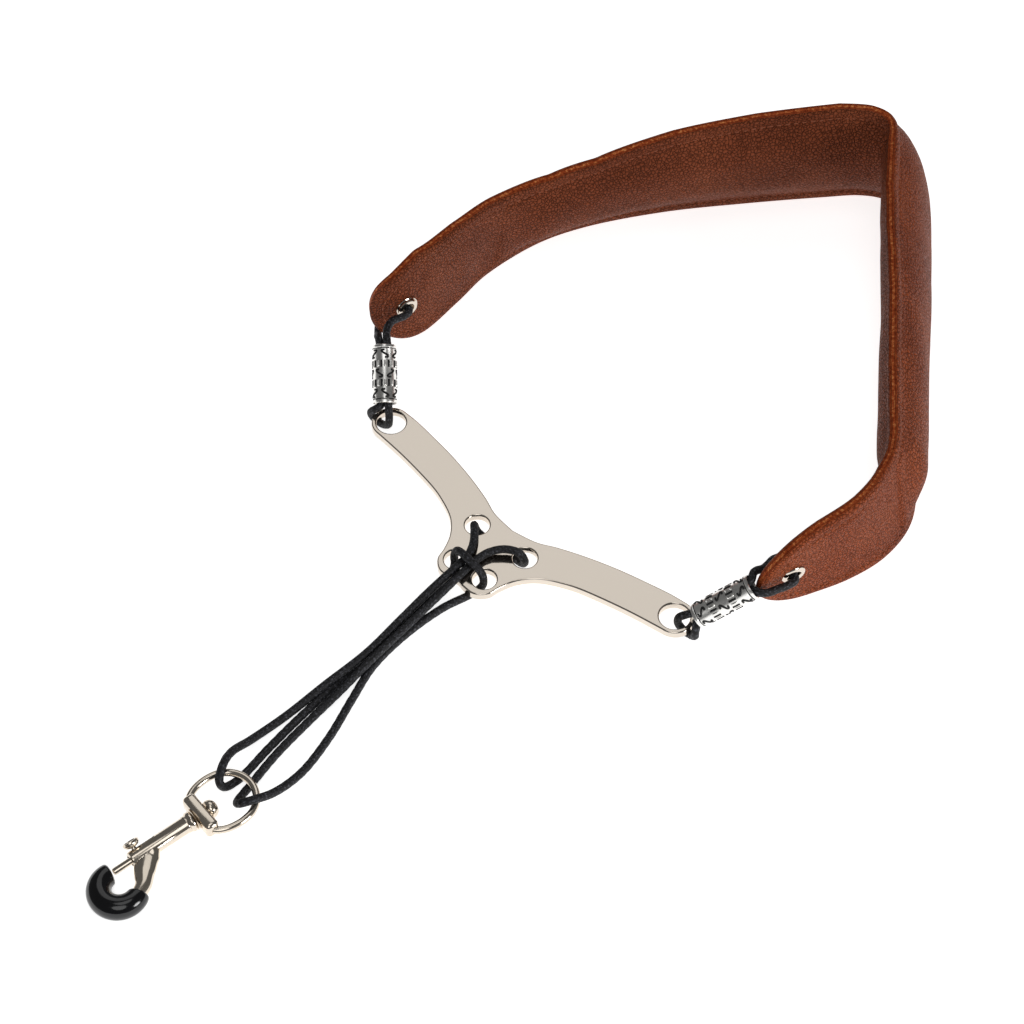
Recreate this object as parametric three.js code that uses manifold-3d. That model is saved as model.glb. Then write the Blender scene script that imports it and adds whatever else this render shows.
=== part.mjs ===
// A padded leather saxophone neck strap as it lies on a table: neck band, cord loops with beads, metal yoke
// plate, sliding adjustment cord and swivel bolt snap.
// Millimetres, +Z up, +Y from the hook to the back of the neck. The table is z = 0 and the origin is on it,
// under the middle of the strap.
import * as THREE from 'three';
import { mergeVertices } from 'three/addons/utils/BufferGeometryUtils.js';
import Module from 'manifold-3d';

const wasm = await Module();
wasm.setup();

// ---------------------------------------------------------------- driving dimensions

const GAP = 0.3; // clearance between pieces that touch
const CORD = 2.7; // diameter of every cord
const CORD_SIDES = 8;

// Neck band. The path is its lower edge seen from above, from the left tip round the back of the neck to the
// right tip, as [x, y, lean]: the wall stands on that edge and leans inwards by that many degrees.
const BAND_PATH = [
  [-94.3, 16.3, 5], [-89, 22.5, 3], [-86.2, 33, 0], [-87.3, 52, 3], [-89, 70, 8], [-85.5, 94, 15],
  [-77.7, 112.5, 16], [-60.6, 138, 11], [-40.6, 161.5, 8.5], [-20, 184, 8], [-10.6, 193.5, 10.5],
  [-3.3, 197.8, 13], [2.8, 199, 15], [8.7, 197.3, 16], [17.5, 192, 18], [34, 171, 19.5], [44.8, 155.3, 19],
  [60.5, 131, 16.5], [76.8, 106.5, 16], [86.5, 91.5, 15], [95, 76, 13], [96.5, 60, 8], [93, 45, 1],
  [86, 29.5, -5], [77.5, 12.5, -12],
];
const BAND_TIP_WIDTH = 40;
const BAND_MIDDLE_WIDTH = 52;
const BAND_TIP_RISE = 2.4; // the tips hang a little above the table
const BAND_TIP_RISE_LENGTH = 70;
const BACK_REACH = 24;
const BACK_REACH_LENGTH = 70;
const LEATHER = 1.4;
const CORE = 1.0;
const PAD = 5.6;
const PAD_CROWN = 2.4; // how square the pad's cross-section is
const PAD_RIM = 0.6; // thickness of a pad at its edge
const PAD_MARGIN = 7; // from the band's edge to the pad
const PAD_END_MARGIN = 62; // from the band's tip to the pad
const SEAM_MARGIN = 4.5; // from the band's edge to the line where the leather starts to swell

// Eyelets, one near each tip.
const EYELET_TO_TIP = 12;
const EYELET_SEAT = 0.15; // how far the eyelet presses into the leather
const EYELET_HOLE = 4.6;
const EYELET_BARREL = 5.8;
const EYELET_FLANGE = 8.2;
const EYELET_METAL = 0.7;

// Yoke plate, lying flat on the cords that run under it.
const YOKE_BOTTOM = 3;
const YOKE_THICKNESS = 3;
const YOKE_BEVEL = 0.7;
const YOKE_END_RADIUS = 6.8;
const YOKE_END_HOLE = { x: 62.5, y: -7.5, diameter: 10.1 };
const YOKE_MIDDLE_HOLE = { x: 10.5, y: -21.5, diameter: 8.2 };
const YOKE_LOWER_HOLE = { x: 6.2, y: -36.8, diameter: 8 };
const YOKE_UPPER_EDGE = [[9, -13.9], [16, -10.9], [26, -7.5], [37, -4.6], [48, -2.5], [56, -1.2]];
const YOKE_LOWER_EDGE = [
  [49, -16.1], [34, -19.1], [26, -21.8], [19.3, -25.4], [14.8, -30.4], [12.4, -36], [11.2, -40.5], [7.6, -43.6],
  [3, -43.6],
];
const YOKE_NOTCH_TOP = -15.4;
const YOKE_NOTCH_BOTTOM = -43;

// Beads that close the cord loops.
const BEAD = 8.4;
const BEAD_BORE = 6.8;

// Swivel hook. Its frame has y = 0 at the cross bar of the ring and -y towards the bow of the hook.
const HOOK_PLACE = [-0.4, -160.2, 4.1];
const HOOK_YAW = THREE.MathUtils.degToRad(-10);
const RING_WIRE = 2.4;
const RING_HALF_WIDTH = 9.7;
const RING_FAR_END = 18.7;
const BAR = { length: 14.6, width: 4.6, height: 6 };
const RIVET_SHANK = 2.6;
const RIVET_HEAD = 6;
const COLLAR = 7.6;
const BARREL = 5.4;
const BARREL_TOP = -3.4;
const BARREL_END = -25.7;
const BARREL_BORE = 3.4;
const BOLT = 2.3;
const BOLT_HEAD = 2.8;
const BOLT_TIP = -31.9;
const BOLT_TRAVEL = 6;
const KNOB = 5.4;
const KNOB_STEM = 1.6;
const KNOB_PLACE = -22.8;
const KNOB_TILT = THREE.MathUtils.degToRad(35); // the knob points up and to one side
const SPRING_WIRE = 0.5;
const SPRING_TURNS = 9;
const BOW_CENTRE = [6, -33.6];
const BOW_RADIUS = 6.2;
const BOW_WIRE = 4.2;
const SLEEVE_END = 6.6;
const SLEEVE_MIDDLE = 8;

// ---------------------------------------------------------------- materials

const leather = new THREE.MeshStandardMaterial({ color: 0x6e3a22, roughness: 0.5 });
const lining = new THREE.MeshStandardMaterial({ color: 0x76401f, roughness: 0.55 });
const board = new THREE.MeshStandardMaterial({ color: 0x9a4a24, roughness: 0.8 });
const foam = new THREE.MeshStandardMaterial({ color: 0x3a3a38, roughness: 0.95 });
const cordage = new THREE.MeshStandardMaterial({ color: 0x15161a, roughness: 0.8 });
const nickel = new THREE.MeshStandardMaterial({ color: 0xd6cfc2, roughness: 0.12, metalness: 1 });
const silver = new THREE.MeshStandardMaterial({ color: 0xd9d9d6, roughness: 0.25, metalness: 1 });
const spring = new THREE.MeshStandardMaterial({ color: 0x8f9194, roughness: 0.3, metalness: 1 });
const rubber = new THREE.MeshStandardMaterial({ color: 0x0b0b0d, roughness: 0.2 });

const strap = new THREE.Group();

// ---------------------------------------------------------------- helpers

function addPiece(name, geometry, material, parent = strap) {
  const piece = new THREE.Mesh(geometry, material);
  piece.name = name;
  parent.add(piece);
  return piece;
}

function toSolid(geometry) {
  const bare = geometry.clone();
  bare.deleteAttribute('normal');
  bare.deleteAttribute('uv');
  const merged = mergeVertices(bare, 1e-4);
  const mesh = new wasm.Mesh({
    numProp: 3,
    vertProperties: new Float32Array(merged.attributes.position.array),
    triVerts: new Uint32Array(merged.index.array),
  });
  return new wasm.Manifold(mesh);
}

function toGeometry(solid) {
  const mesh = solid.getMesh();
  const geometry = new THREE.BufferGeometry();
  geometry.setAttribute('position', new THREE.BufferAttribute(mesh.vertProperties, 3));
  geometry.setIndex(new THREE.BufferAttribute(mesh.triVerts, 1));
  geometry.computeVertexNormals();
  return geometry;
}

// A round bar along Y from y0 to y1.
function rodAlongY(radius, y0, y1, sides = 16) {
  const rod = new THREE.CylinderGeometry(radius, radius, y1 - y0, sides);
  return rod.translate(0, (y0 + y1) / 2, 0);
}

// A curve that is sampled by its points, so that tight bends keep as many sections as straight runs.
class RouteCurve extends THREE.CatmullRomCurve3 {
  getPointAt(u, target) {
    return this.getPoint(u, target);
  }

  getTangentAt(u, target) {
    return this.getTangent(u, target);
  }

  getSpacedPoints(divisions) {
    return this.getPoints(divisions);
  }
}

function circle(radius, sides, centreX = 0, centreY = 0) {
  const shape = new THREE.Shape();
  for (let i = 0; i < sides; i += 1) {
    const angle = (2 * Math.PI * i) / sides;
    const x = centreX + radius * Math.cos(angle);
    const y = centreY + radius * Math.sin(angle);
    if (i === 0) shape.moveTo(x, y);
    else shape.lineTo(x, y);
  }
  return shape;
}

function tube(curve, radius, steps, sides) {
  return new THREE.ExtrudeGeometry(circle(radius, sides), { steps, extrudePath: curve, bevelEnabled: false });
}

// ---------------------------------------------------------------- neck band

const bandCurve = new THREE.CatmullRomCurve3(BAND_PATH.map(([x, y]) => new THREE.Vector3(x, y, 0)));
bandCurve.arcLengthDivisions = 800;
const bandLength = bandCurve.getLength();
const halfLength = bandLength / 2;
const rimHalf = CORE / 2 + GAP + LEATHER;

function smoothStep(value) {
  const x = Math.min(Math.max(value, 0), 1);
  return x * x * (3 - 2 * x);
}

function bandLean(u) {
  const place = bandCurve.getUtoTmapping(u) * (BAND_PATH.length - 1);
  const index = Math.min(Math.floor(place), BAND_PATH.length - 2);
  return THREE.MathUtils.degToRad(THREE.MathUtils.lerp(BAND_PATH[index][2], BAND_PATH[index + 1][2], place - index));
}

function bandWidth(s) {
  const middle = Math.cos((Math.PI / 2) * (s / halfLength)) ** 2;
  return BAND_TIP_WIDTH + (BAND_MIDDLE_WIDTH - BAND_TIP_WIDTH) * middle;
}

// The band's direction in plan. Round the back of the neck it is taken over a longer stretch, because the wall
// turns there more gently than its edge does.
function bandDirection(s) {
  const reach = Math.max(0.5, BACK_REACH * (1 - Math.abs(s) / BACK_REACH_LENGTH));
  const from = Math.min(Math.max((s - reach) / bandLength + 0.5, 0), 1);
  const to = Math.min(Math.max((s + reach) / bandLength + 0.5, 0), 1);
  return bandCurve.getPointAt(to).sub(bandCurve.getPointAt(from)).normalize();
}

// The place s along the band, h up from its lower edge and t out from the middle of its thickness.
function bandFrame(s, h, t) {
  const u = Math.min(Math.max(s / bandLength + 0.5, 0), 1);
  const foot = bandCurve.getPointAt(u);
  const along = bandDirection(s);
  const lean = bandLean(u);
  const side = new THREE.Vector3(-along.y, along.x, 0);
  const up = new THREE.Vector3(0, 0, Math.cos(lean)).addScaledVector(side, -Math.sin(lean));
  const out = new THREE.Vector3(0, 0, Math.sin(lean)).addScaledVector(side, Math.cos(lean));
  const tipRise = BAND_TIP_RISE * smoothStep(1 - (halfLength - Math.abs(s)) / BAND_TIP_RISE_LENGTH);
  foot.z += tipRise + rimHalf * Math.sin(lean);
  const point = foot.addScaledVector(up, h).addScaledVector(out, t);
  return { point, along, up, out };
}

// Stations along half of the band: close together round the back of the neck, then wider, then the round tip.
const BACK_LENGTH = 24;
const BACK_STEPS = 5;
const SIDE_STEPS = 11;
const FLAT_STEPS = 4;
const TIP_STEPS = 5;
const TIP_LAST_ANGLE = THREE.MathUtils.degToRad(84);
const padHalf = halfLength - PAD_END_MARGIN;

function halfStations() {
  const stations = [];
  for (let i = 0; i <= BACK_STEPS; i += 1) stations.push({ s: (BACK_LENGTH * i) / BACK_STEPS, shrink: 1 });
  for (let i = 1; i <= SIDE_STEPS; i += 1) {
    stations.push({ s: BACK_LENGTH + ((padHalf - BACK_LENGTH) * i) / SIDE_STEPS, shrink: 1 });
  }
  const tipRadius = BAND_TIP_WIDTH / 2;
  const flatLength = PAD_END_MARGIN - tipRadius;
  for (let i = 1; i < FLAT_STEPS; i += 1) {
    stations.push({ s: padHalf + (flatLength * i) / FLAT_STEPS, shrink: 1 });
  }
  for (let i = 0; i <= TIP_STEPS; i += 1) {
    const angle = (TIP_LAST_ANGLE * i) / TIP_STEPS;
    stations.push({ s: halfLength - tipRadius + tipRadius * Math.sin(angle), shrink: Math.cos(angle) });
  }
  return stations;
}

const rightStations = halfStations();
const leftStations = rightStations.slice(1).reverse().map(({ s, shrink }) => ({ s: -s, shrink }));
const bandStations = [...leftStations, ...rightStations];

// Lines across the band, as v from -1 to 1 over the pad's width.
const PAD_LINES = [-1, -0.6, 0, 0.6, 1];

function padThickness(s, v) {
  const end = smoothStep((padHalf - Math.abs(s)) / 16);
  return PAD_RIM + (PAD - PAD_RIM) * (1 - Math.abs(v) ** PAD_CROWN) * end;
}

// How far a leather stands out from the core at place s on line v: the pad under it pushes it out.
function swell(s, v) {
  if (Math.abs(s) > padHalf + 0.01 || Math.abs(v) > 1) return 0;
  return padThickness(s, v) + GAP;
}

// A sheet of the band. Each line across is { h, v } for the width at s, and faces(s, v) gives how far the
// sheet's two sides stand out from the middle of the band. Both sides are split along the same diagonals, so
// that sheets which follow each other keep their clearance where the band twists.
function layer(stations, linesAt, faces) {
  const rows = stations.length;
  const columns = linesAt(0).length;
  const vertices = [];
  for (const face of [0, 1]) {
    for (const { s, shrink } of stations) {
      const middle = bandWidth(s) / 2;
      for (const { h, v } of linesAt(s)) {
        const { point } = bandFrame(s, middle + (h - middle) * shrink, faces(s, v)[face]);
        vertices.push(point.x, point.y, point.z);
      }
    }
  }
  const low = (row, column) => row * columns + column;
  const high = (row, column) => (rows + row) * columns + column;
  const indices = [];
  const quad = (p, q, r, t) => indices.push(p, q, r, p, r, t);
  for (let i = 0; i + 1 < rows; i += 1) {
    for (let j = 0; j + 1 < columns; j += 1) {
      quad(low(i, j), low(i + 1, j), low(i + 1, j + 1), low(i, j + 1));
      quad(high(i, j), high(i, j + 1), high(i + 1, j + 1), high(i + 1, j));
    }
    const top = columns - 1;
    quad(low(i, 0), high(i, 0), high(i + 1, 0), low(i + 1, 0));
    quad(low(i, top), low(i + 1, top), high(i + 1, top), high(i, top));
  }
  for (let j = 0; j + 1 < columns; j += 1) {
    const last = rows - 1;
    quad(low(0, j), low(0, j + 1), high(0, j + 1), high(0, j));
    quad(low(last, j), high(last, j), high(last, j + 1), low(last, j + 1));
  }
  const geometry = new THREE.BufferGeometry();
  geometry.setAttribute('position', new THREE.Float32BufferAttribute(vertices, 3));
  geometry.setIndex(indices);
  geometry.computeVertexNormals();
  return geometry;
}

function padLines(s) {
  const middle = bandWidth(s) / 2;
  return PAD_LINES.map((v) => ({ v, h: middle + v * (middle - PAD_MARGIN) }));
}

function leatherLines(s) {
  const width = bandWidth(s);
  return [
    { v: -3, h: 0 }, { v: -2, h: SEAM_MARGIN },
    ...padLines(s),
    { v: 2, h: width - SEAM_MARGIN }, { v: 3, h: width },
  ];
}

const coreFace = CORE / 2;
const seat = coreFace + GAP;
const padStations = bandStations.filter(({ s }) => Math.abs(s) < padHalf + 0.01);

function eyeletFrame(side) {
  const s = side * (halfLength - EYELET_TO_TIP);
  const frame = bandFrame(s, bandWidth(s) / 2, 0);
  const towardsTip = frame.along.clone().multiplyScalar(side);
  return { ...frame, towardsTip };
}

// Puts a shape turned about Y on the axis of an eyelet, +Y pointing out of the band.
function onEyeletAxis(geometry, side) {
  const { point, out } = eyeletFrame(side);
  const turn = new THREE.Quaternion().setFromUnitVectors(new THREE.Vector3(0, 1, 0), out);
  return geometry.applyQuaternion(turn).translate(point.x, point.y, point.z);
}

// Cuts the eyelets' holes and, in each leather, the flat that the flange presses down.
function punched(geometry) {
  let solid = toSolid(geometry);
  const seatDepth = rimHalf - EYELET_SEAT;
  const cuts = [[EYELET_BARREL / 2 + GAP, -8, 8]];
  cuts.push([EYELET_FLANGE / 2 + GAP, seatDepth, 8], [EYELET_FLANGE / 2 + GAP, -8, -seatDepth]);
  for (const side of [-1, 1]) {
    for (const [radius, low, high] of cuts) {
      solid = solid.subtract(toSolid(onEyeletAxis(rodAlongY(radius, low, high), side)));
    }
  }
  return toGeometry(solid);
}

function makeBand() {
  const outer = layer(bandStations, leatherLines, (s, v) => [seat + swell(s, v), seat + swell(s, v) + LEATHER]);
  const inner = layer(bandStations, leatherLines, (s, v) => [-seat - swell(s, v) - LEATHER, -seat - swell(s, v)]);
  const core = layer(bandStations, leatherLines, () => [-coreFace, coreFace]);
  const outerPad = layer(padStations, padLines, (s, v) => [seat, seat + padThickness(s, v)]);
  const innerPad = layer(padStations, padLines, (s, v) => [-seat - padThickness(s, v), -seat]);
  addPiece('band_outer_leather', punched(outer), leather);
  addPiece('band_lining', punched(inner), lining);
  addPiece('band_core', punched(core), board);
  addPiece('band_outer_pad', outerPad, foam);
  addPiece('band_inner_pad', innerPad, foam);
}

// ---------------------------------------------------------------- eyelets

function lathe(profile, sides = 16) {
  return new THREE.LatheGeometry(profile.map(([r, y]) => new THREE.Vector2(r, y)), sides);
}

function makeEyelet(side, label) {
  const hole = EYELET_HOLE / 2;
  const barrel = EYELET_BARREL / 2;
  const flange = EYELET_FLANGE / 2;
  const face = rimHalf + GAP / 2;
  const outside = face + EYELET_METAL;
  const washerFar = -face - EYELET_METAL;
  const lipNear = washerFar - GAP / 2;
  const lipFar = lipNear - EYELET_METAL;
  const lip = barrel + 0.8;
  const eyelet = lathe([
    [hole, lipFar], [lip - 0.3, lipFar], [lip, lipNear], [barrel, lipNear], [barrel, face], [flange, face],
    [flange - 0.4, outside], [hole, outside], [hole, lipFar],
  ]);
  const inside = barrel + GAP;
  const washer = lathe([
    [inside, washerFar], [flange - 0.3, washerFar], [flange, -face], [inside, -face], [inside, washerFar],
  ]);
  addPiece(`eyelet_${label}`, onEyeletAxis(eyelet, side), nickel);
  addPiece(`eyelet_${label}_washer`, onEyeletAxis(washer, side), nickel);
}

// ---------------------------------------------------------------- yoke plate

function yokeOutline() {
  const { x, y } = YOKE_END_HOLE;
  const upper = YOKE_UPPER_EDGE.map(([px, py]) => new THREE.Vector2(px, py));
  const lower = YOKE_LOWER_EDGE.map(([px, py]) => new THREE.Vector2(px, py));
  const mirrored = (points) => points.map((p) => new THREE.Vector2(-p.x, p.y)).reverse();
  const shape = new THREE.Shape();
  shape.moveTo(0, YOKE_NOTCH_TOP);
  shape.splineThru([...upper, new THREE.Vector2(x, y + YOKE_END_RADIUS)]);
  shape.absarc(x, y, YOKE_END_RADIUS, Math.PI / 2, -Math.PI / 2, true);
  shape.splineThru([
    ...lower,
    new THREE.Vector2(0, YOKE_NOTCH_BOTTOM),
    ...mirrored(lower),
    new THREE.Vector2(-x, y - YOKE_END_RADIUS),
  ]);
  shape.absarc(-x, y, YOKE_END_RADIUS, -Math.PI / 2, -1.5 * Math.PI, true);
  shape.splineThru([...mirrored(upper), new THREE.Vector2(0, YOKE_NOTCH_TOP)]);
  return shape;
}

function makeYoke() {
  const shape = yokeOutline();
  for (const hole of [YOKE_END_HOLE, YOKE_MIDDLE_HOLE, YOKE_LOWER_HOLE]) {
    for (const side of [-1, 1]) {
      shape.holes.push(circle(hole.diameter / 2, 14, side * hole.x, hole.y));
    }
  }
  const plate = new THREE.ExtrudeGeometry(shape, {
    depth: YOKE_THICKNESS - 2 * YOKE_BEVEL,
    bevelThickness: YOKE_BEVEL,
    bevelSize: YOKE_BEVEL,
    bevelOffset: -YOKE_BEVEL,
    bevelSegments: 1,
    curveSegments: 3,
  });
  plate.translate(0, 0, YOKE_BOTTOM + YOKE_BEVEL);
  addPiece('yoke_plate', plate, nickel);
}

// ---------------------------------------------------------------- swivel hook

const hook = new THREE.Group();
hook.position.set(...HOOK_PLACE);
hook.rotation.z = HOOK_YAW;
strap.add(hook);

function ringCurve() {
  const half = BAR.length / 2 - 0.6;
  const r = RING_HALF_WIDTH;
  const arc = RING_FAR_END - r;
  const points = [[-half, 0], [-half - 0.6, 2.2], [-r, arc - 2]];
  for (let i = 0; i <= 8; i += 1) {
    const angle = Math.PI - (Math.PI * i) / 8;
    points.push([r * Math.cos(angle), arc + r * Math.sin(angle)]);
  }
  points.push([r, arc - 2], [half + 0.6, 2.2], [half, 0]);
  return new THREE.CatmullRomCurve3(points.map(([x, y]) => new THREE.Vector3(x, y, 0)));
}

function makeRing() {
  const wire = toSolid(tube(ringCurve(), RING_WIRE / 2, 30, 10));
  const bar = new THREE.ExtrudeGeometry(barSection(), { depth: BAR.length, bevelEnabled: false });
  bar.rotateY(Math.PI / 2).translate(-BAR.length / 2, 0, 0);
  const bore = rodAlongY(RIVET_SHANK / 2 + GAP, -4, 4);
  const solid = wire.add(toSolid(bar)).subtract(toSolid(bore));
  addPiece('swivel_ring', toGeometry(solid), nickel, hook);
}

// The cross bar's section: flat towards the hook, rounded towards the cords, chamfered above and below.
function barSection() {
  const w = BAR.width / 2;
  const h = BAR.height / 2;
  const c = 0.8;
  const shape = new THREE.Shape();
  shape.moveTo(-h + c, -w);
  shape.lineTo(h - c, -w);
  shape.lineTo(h, -w + c);
  shape.lineTo(h, w - c);
  shape.lineTo(h - c, w);
  shape.lineTo(-h + c, w);
  shape.lineTo(-h, w - c);
  shape.lineTo(-h, -w + c);
  shape.closePath();
  return shape;
}

function makeRivet() {
  const shank = RIVET_SHANK / 2;
  const head = RIVET_HEAD / 2;
  const under = BAR.width / 2 + GAP;
  const rivet = lathe([
    [0, BARREL_TOP - 4], [shank, BARREL_TOP - 4], [shank, under], [head, under], [head, under + 1.2],
    [head * 0.8, under + 2.5], [head * 0.4, under + 3.1], [0, under + 3.2],
  ]);
  addPiece('swivel_rivet', rivet, nickel, hook);
  const top = -BAR.width / 2 - GAP;
  const bottom = BARREL_TOP + GAP;
  const bore = shank + GAP;
  const collar = lathe([
    [bore, bottom], [COLLAR / 2 - 0.3, bottom], [COLLAR / 2, (top + bottom) / 2], [COLLAR / 2 - 0.3, top],
    [bore, top], [bore, bottom],
  ]);
  addPiece('swivel_collar', collar, nickel, hook);
}

function bowPoint(angle, z = 0) {
  const [x, y] = BOW_CENTRE;
  return new THREE.Vector3(x + BOW_RADIUS * Math.cos(angle), y + BOW_RADIUS * Math.sin(angle), z);
}

function bowArc(from, to, steps) {
  const points = [];
  for (let i = 0; i <= steps; i += 1) points.push(bowPoint(from + ((to - from) * i) / steps));
  return points;
}

// Gives a tube along a curve a radius that changes from end to end.
function swollenTube(points, radiusAt, steps, sides) {
  const curve = new RouteCurve(points);
  const geometry = tube(curve, 1, steps, sides);
  const centres = curve.getPoints(steps);
  const positions = geometry.attributes.position;
  const vertex = new THREE.Vector3();
  for (let i = 0; i < positions.count; i += 1) {
    vertex.fromBufferAttribute(positions, i);
    let nearest = 0;
    for (let j = 1; j <= steps; j += 1) {
      if (centres[j].distanceTo(vertex) < centres[nearest].distanceTo(vertex)) nearest = j;
    }
    const offset = vertex.sub(centres[nearest]).multiplyScalar(radiusAt(nearest / steps));
    positions.setXYZ(i, centres[nearest].x + offset.x, centres[nearest].y + offset.y, centres[nearest].z + offset.z);
  }
  return geometry;
}

const BOW_START = THREE.MathUtils.degToRad(40);
const BOW_TIP = THREE.MathUtils.degToRad(-187);
const SLEEVE_START = THREE.MathUtils.degToRad(38);
const SLEEVE_TIP = THREE.MathUtils.degToRad(-189);

function makeHookBody() {
  const barrel = BARREL / 2;
  const shell = lathe([
    [0, BARREL_END], [barrel - 0.4, BARREL_END], [barrel, BARREL_END + 0.6], [barrel, BARREL_TOP - 1.4],
    [barrel + 0.7, BARREL_TOP - 0.9], [barrel + 0.7, BARREL_TOP], [0, BARREL_TOP],
  ]);
  const spinePoints = [[0.4, -17.5], [2.6, -21.3], [6, -24.6], [9.3, -27.2]];
  const spine = spinePoints.map(([x, y]) => new THREE.Vector3(x, y, 0));
  const bow = swollenTube(
    [...spine, ...bowArc(BOW_START, BOW_TIP, 14)],
    (u) => BOW_WIRE / 2 + 0.9 * (1 - smoothStep(u / 0.3)),
    36,
    10,
  );
  const bore = rodAlongY(BARREL_BORE / 2, BARREL_END - 1, BARREL_TOP - 4.6);
  const rivetSeat = rodAlongY(RIVET_SHANK / 2 + GAP, BARREL_TOP - 5, BARREL_TOP + 1);
  const slotLength = KNOB_STEM + BOLT_TRAVEL + 2 * GAP;
  const slot = new THREE.BoxGeometry(6, slotLength, KNOB_STEM + 2 * GAP);
  slot.translate(-3, KNOB_PLACE + slotLength / 2 - KNOB_STEM / 2 - GAP, 0);
  slot.rotateY(KNOB_TILT);
  let solid = toSolid(shell).add(toSolid(bow));
  for (const cut of [bore, rivetSeat, slot]) solid = solid.subtract(toSolid(cut));
  addPiece('hook_body', toGeometry(solid), nickel, hook);
}

function makeBolt() {
  const pin = BOLT / 2;
  const head = BOLT_HEAD / 2;
  const headTop = KNOB_PLACE + 2.2;
  const bolt = lathe([
    [0, BOLT_TIP], [pin - 0.4, BOLT_TIP], [pin, BOLT_TIP + 0.5], [pin, KNOB_PLACE - 2.2], [head, KNOB_PLACE - 1.8],
    [head, headTop], [0, headTop],
  ], 12);
  const socket = new THREE.CylinderGeometry(KNOB_STEM / 2 + GAP, KNOB_STEM / 2 + GAP, 4, 10);
  socket.rotateZ(Math.PI / 2).translate(-2 - 0.4, KNOB_PLACE, 0).rotateY(KNOB_TILT);
  const solid = toSolid(bolt).subtract(toSolid(socket));
  addPiece('bolt_plunger', toGeometry(solid), nickel, hook);

  const stem = KNOB_STEM / 2;
  const cup = KNOB / 2;
  const knob = lathe([
    [0, 0.7], [stem, 0.7], [stem, 3.1], [cup * 0.7, 3.3], [cup, 4.3], [cup, 5.2], [cup - 0.5, 5.2], [cup * 0.6, 4.3],
    [0, 4.1],
  ], 14);
  knob.rotateZ(Math.PI / 2).translate(0, KNOB_PLACE, 0).rotateY(KNOB_TILT);
  addPiece('thumb_knob', knob, nickel, hook);
}

function makeSpring() {
  const radius = (BARREL_BORE - SPRING_WIRE) / 2 - GAP / 2;
  const low = KNOB_PLACE + 2.2 + GAP + SPRING_WIRE / 2;
  const high = BARREL_TOP - 4.6 - GAP - SPRING_WIRE / 2;
  const perTurn = 8;
  const points = [];
  for (let i = 0; i <= SPRING_TURNS * perTurn; i += 1) {
    const angle = (2 * Math.PI * i) / perTurn;
    const y = low + ((high - low) * i) / (SPRING_TURNS * perTurn);
    points.push(new THREE.Vector3(radius * Math.cos(angle), y, radius * Math.sin(angle)));
  }
  const coil = tube(new RouteCurve(points), SPRING_WIRE / 2, SPRING_TURNS * perTurn, 5);
  addPiece('bolt_spring', coil, spring, hook);
}

// A rubber tube over the bow, open at both ends.
function makeSleeve() {
  const points = bowArc(SLEEVE_START, SLEEVE_TIP, 16);
  const fatness = (u) => SLEEVE_END / 2 + ((SLEEVE_MIDDLE - SLEEVE_END) / 2) * Math.sin(Math.PI * u) ** 0.6;
  const outer = swollenTube(points, fatness, 24, 12);
  const inside = bowArc(SLEEVE_START + 0.2, SLEEVE_TIP - 0.2, 18);
  const inner = tube(new RouteCurve(inside), BOW_WIRE / 2 + GAP, 26, 10);
  addPiece('hook_sleeve', toGeometry(toSolid(outer).subtract(toSolid(inner))), rubber, hook);
}

// ---------------------------------------------------------------- beads and loop cords

const BEADS = {
  left: { bottom: [-67.3, -5.2, 9.9], top: [-78.8, 7.4, 20.8] },
  right: { bottom: [69.4, -5.3, 9.8], top: [80.3, 8.9, 21.3] },
};

function makeBead(label) {
  const bottom = new THREE.Vector3(...BEADS[label].bottom);
  const top = new THREE.Vector3(...BEADS[label].top);
  const length = bottom.distanceTo(top);
  const outside = BEAD / 2;
  const bore = BEAD_BORE / 2;
  const recess = outside - 0.25;
  const bead = lathe([
    [outside - 0.25, 0], [outside, 0.3], [outside, 1.6], [recess, 1.9], [recess, length - 1.9],
    [outside, length - 1.6], [outside, length - 0.3], [outside - 0.25, length], [bore, length - 1.4], [bore, 1.4],
    [outside - 0.25, 0],
  ]);
  const turn = new THREE.Quaternion().setFromUnitVectors(
    new THREE.Vector3(0, 1, 0),
    top.clone().sub(bottom).normalize(),
  );
  bead.applyQuaternion(turn).translate(bottom.x, bottom.y, bottom.z);
  addPiece(`bead_${label}`, bead, silver);
}

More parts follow.
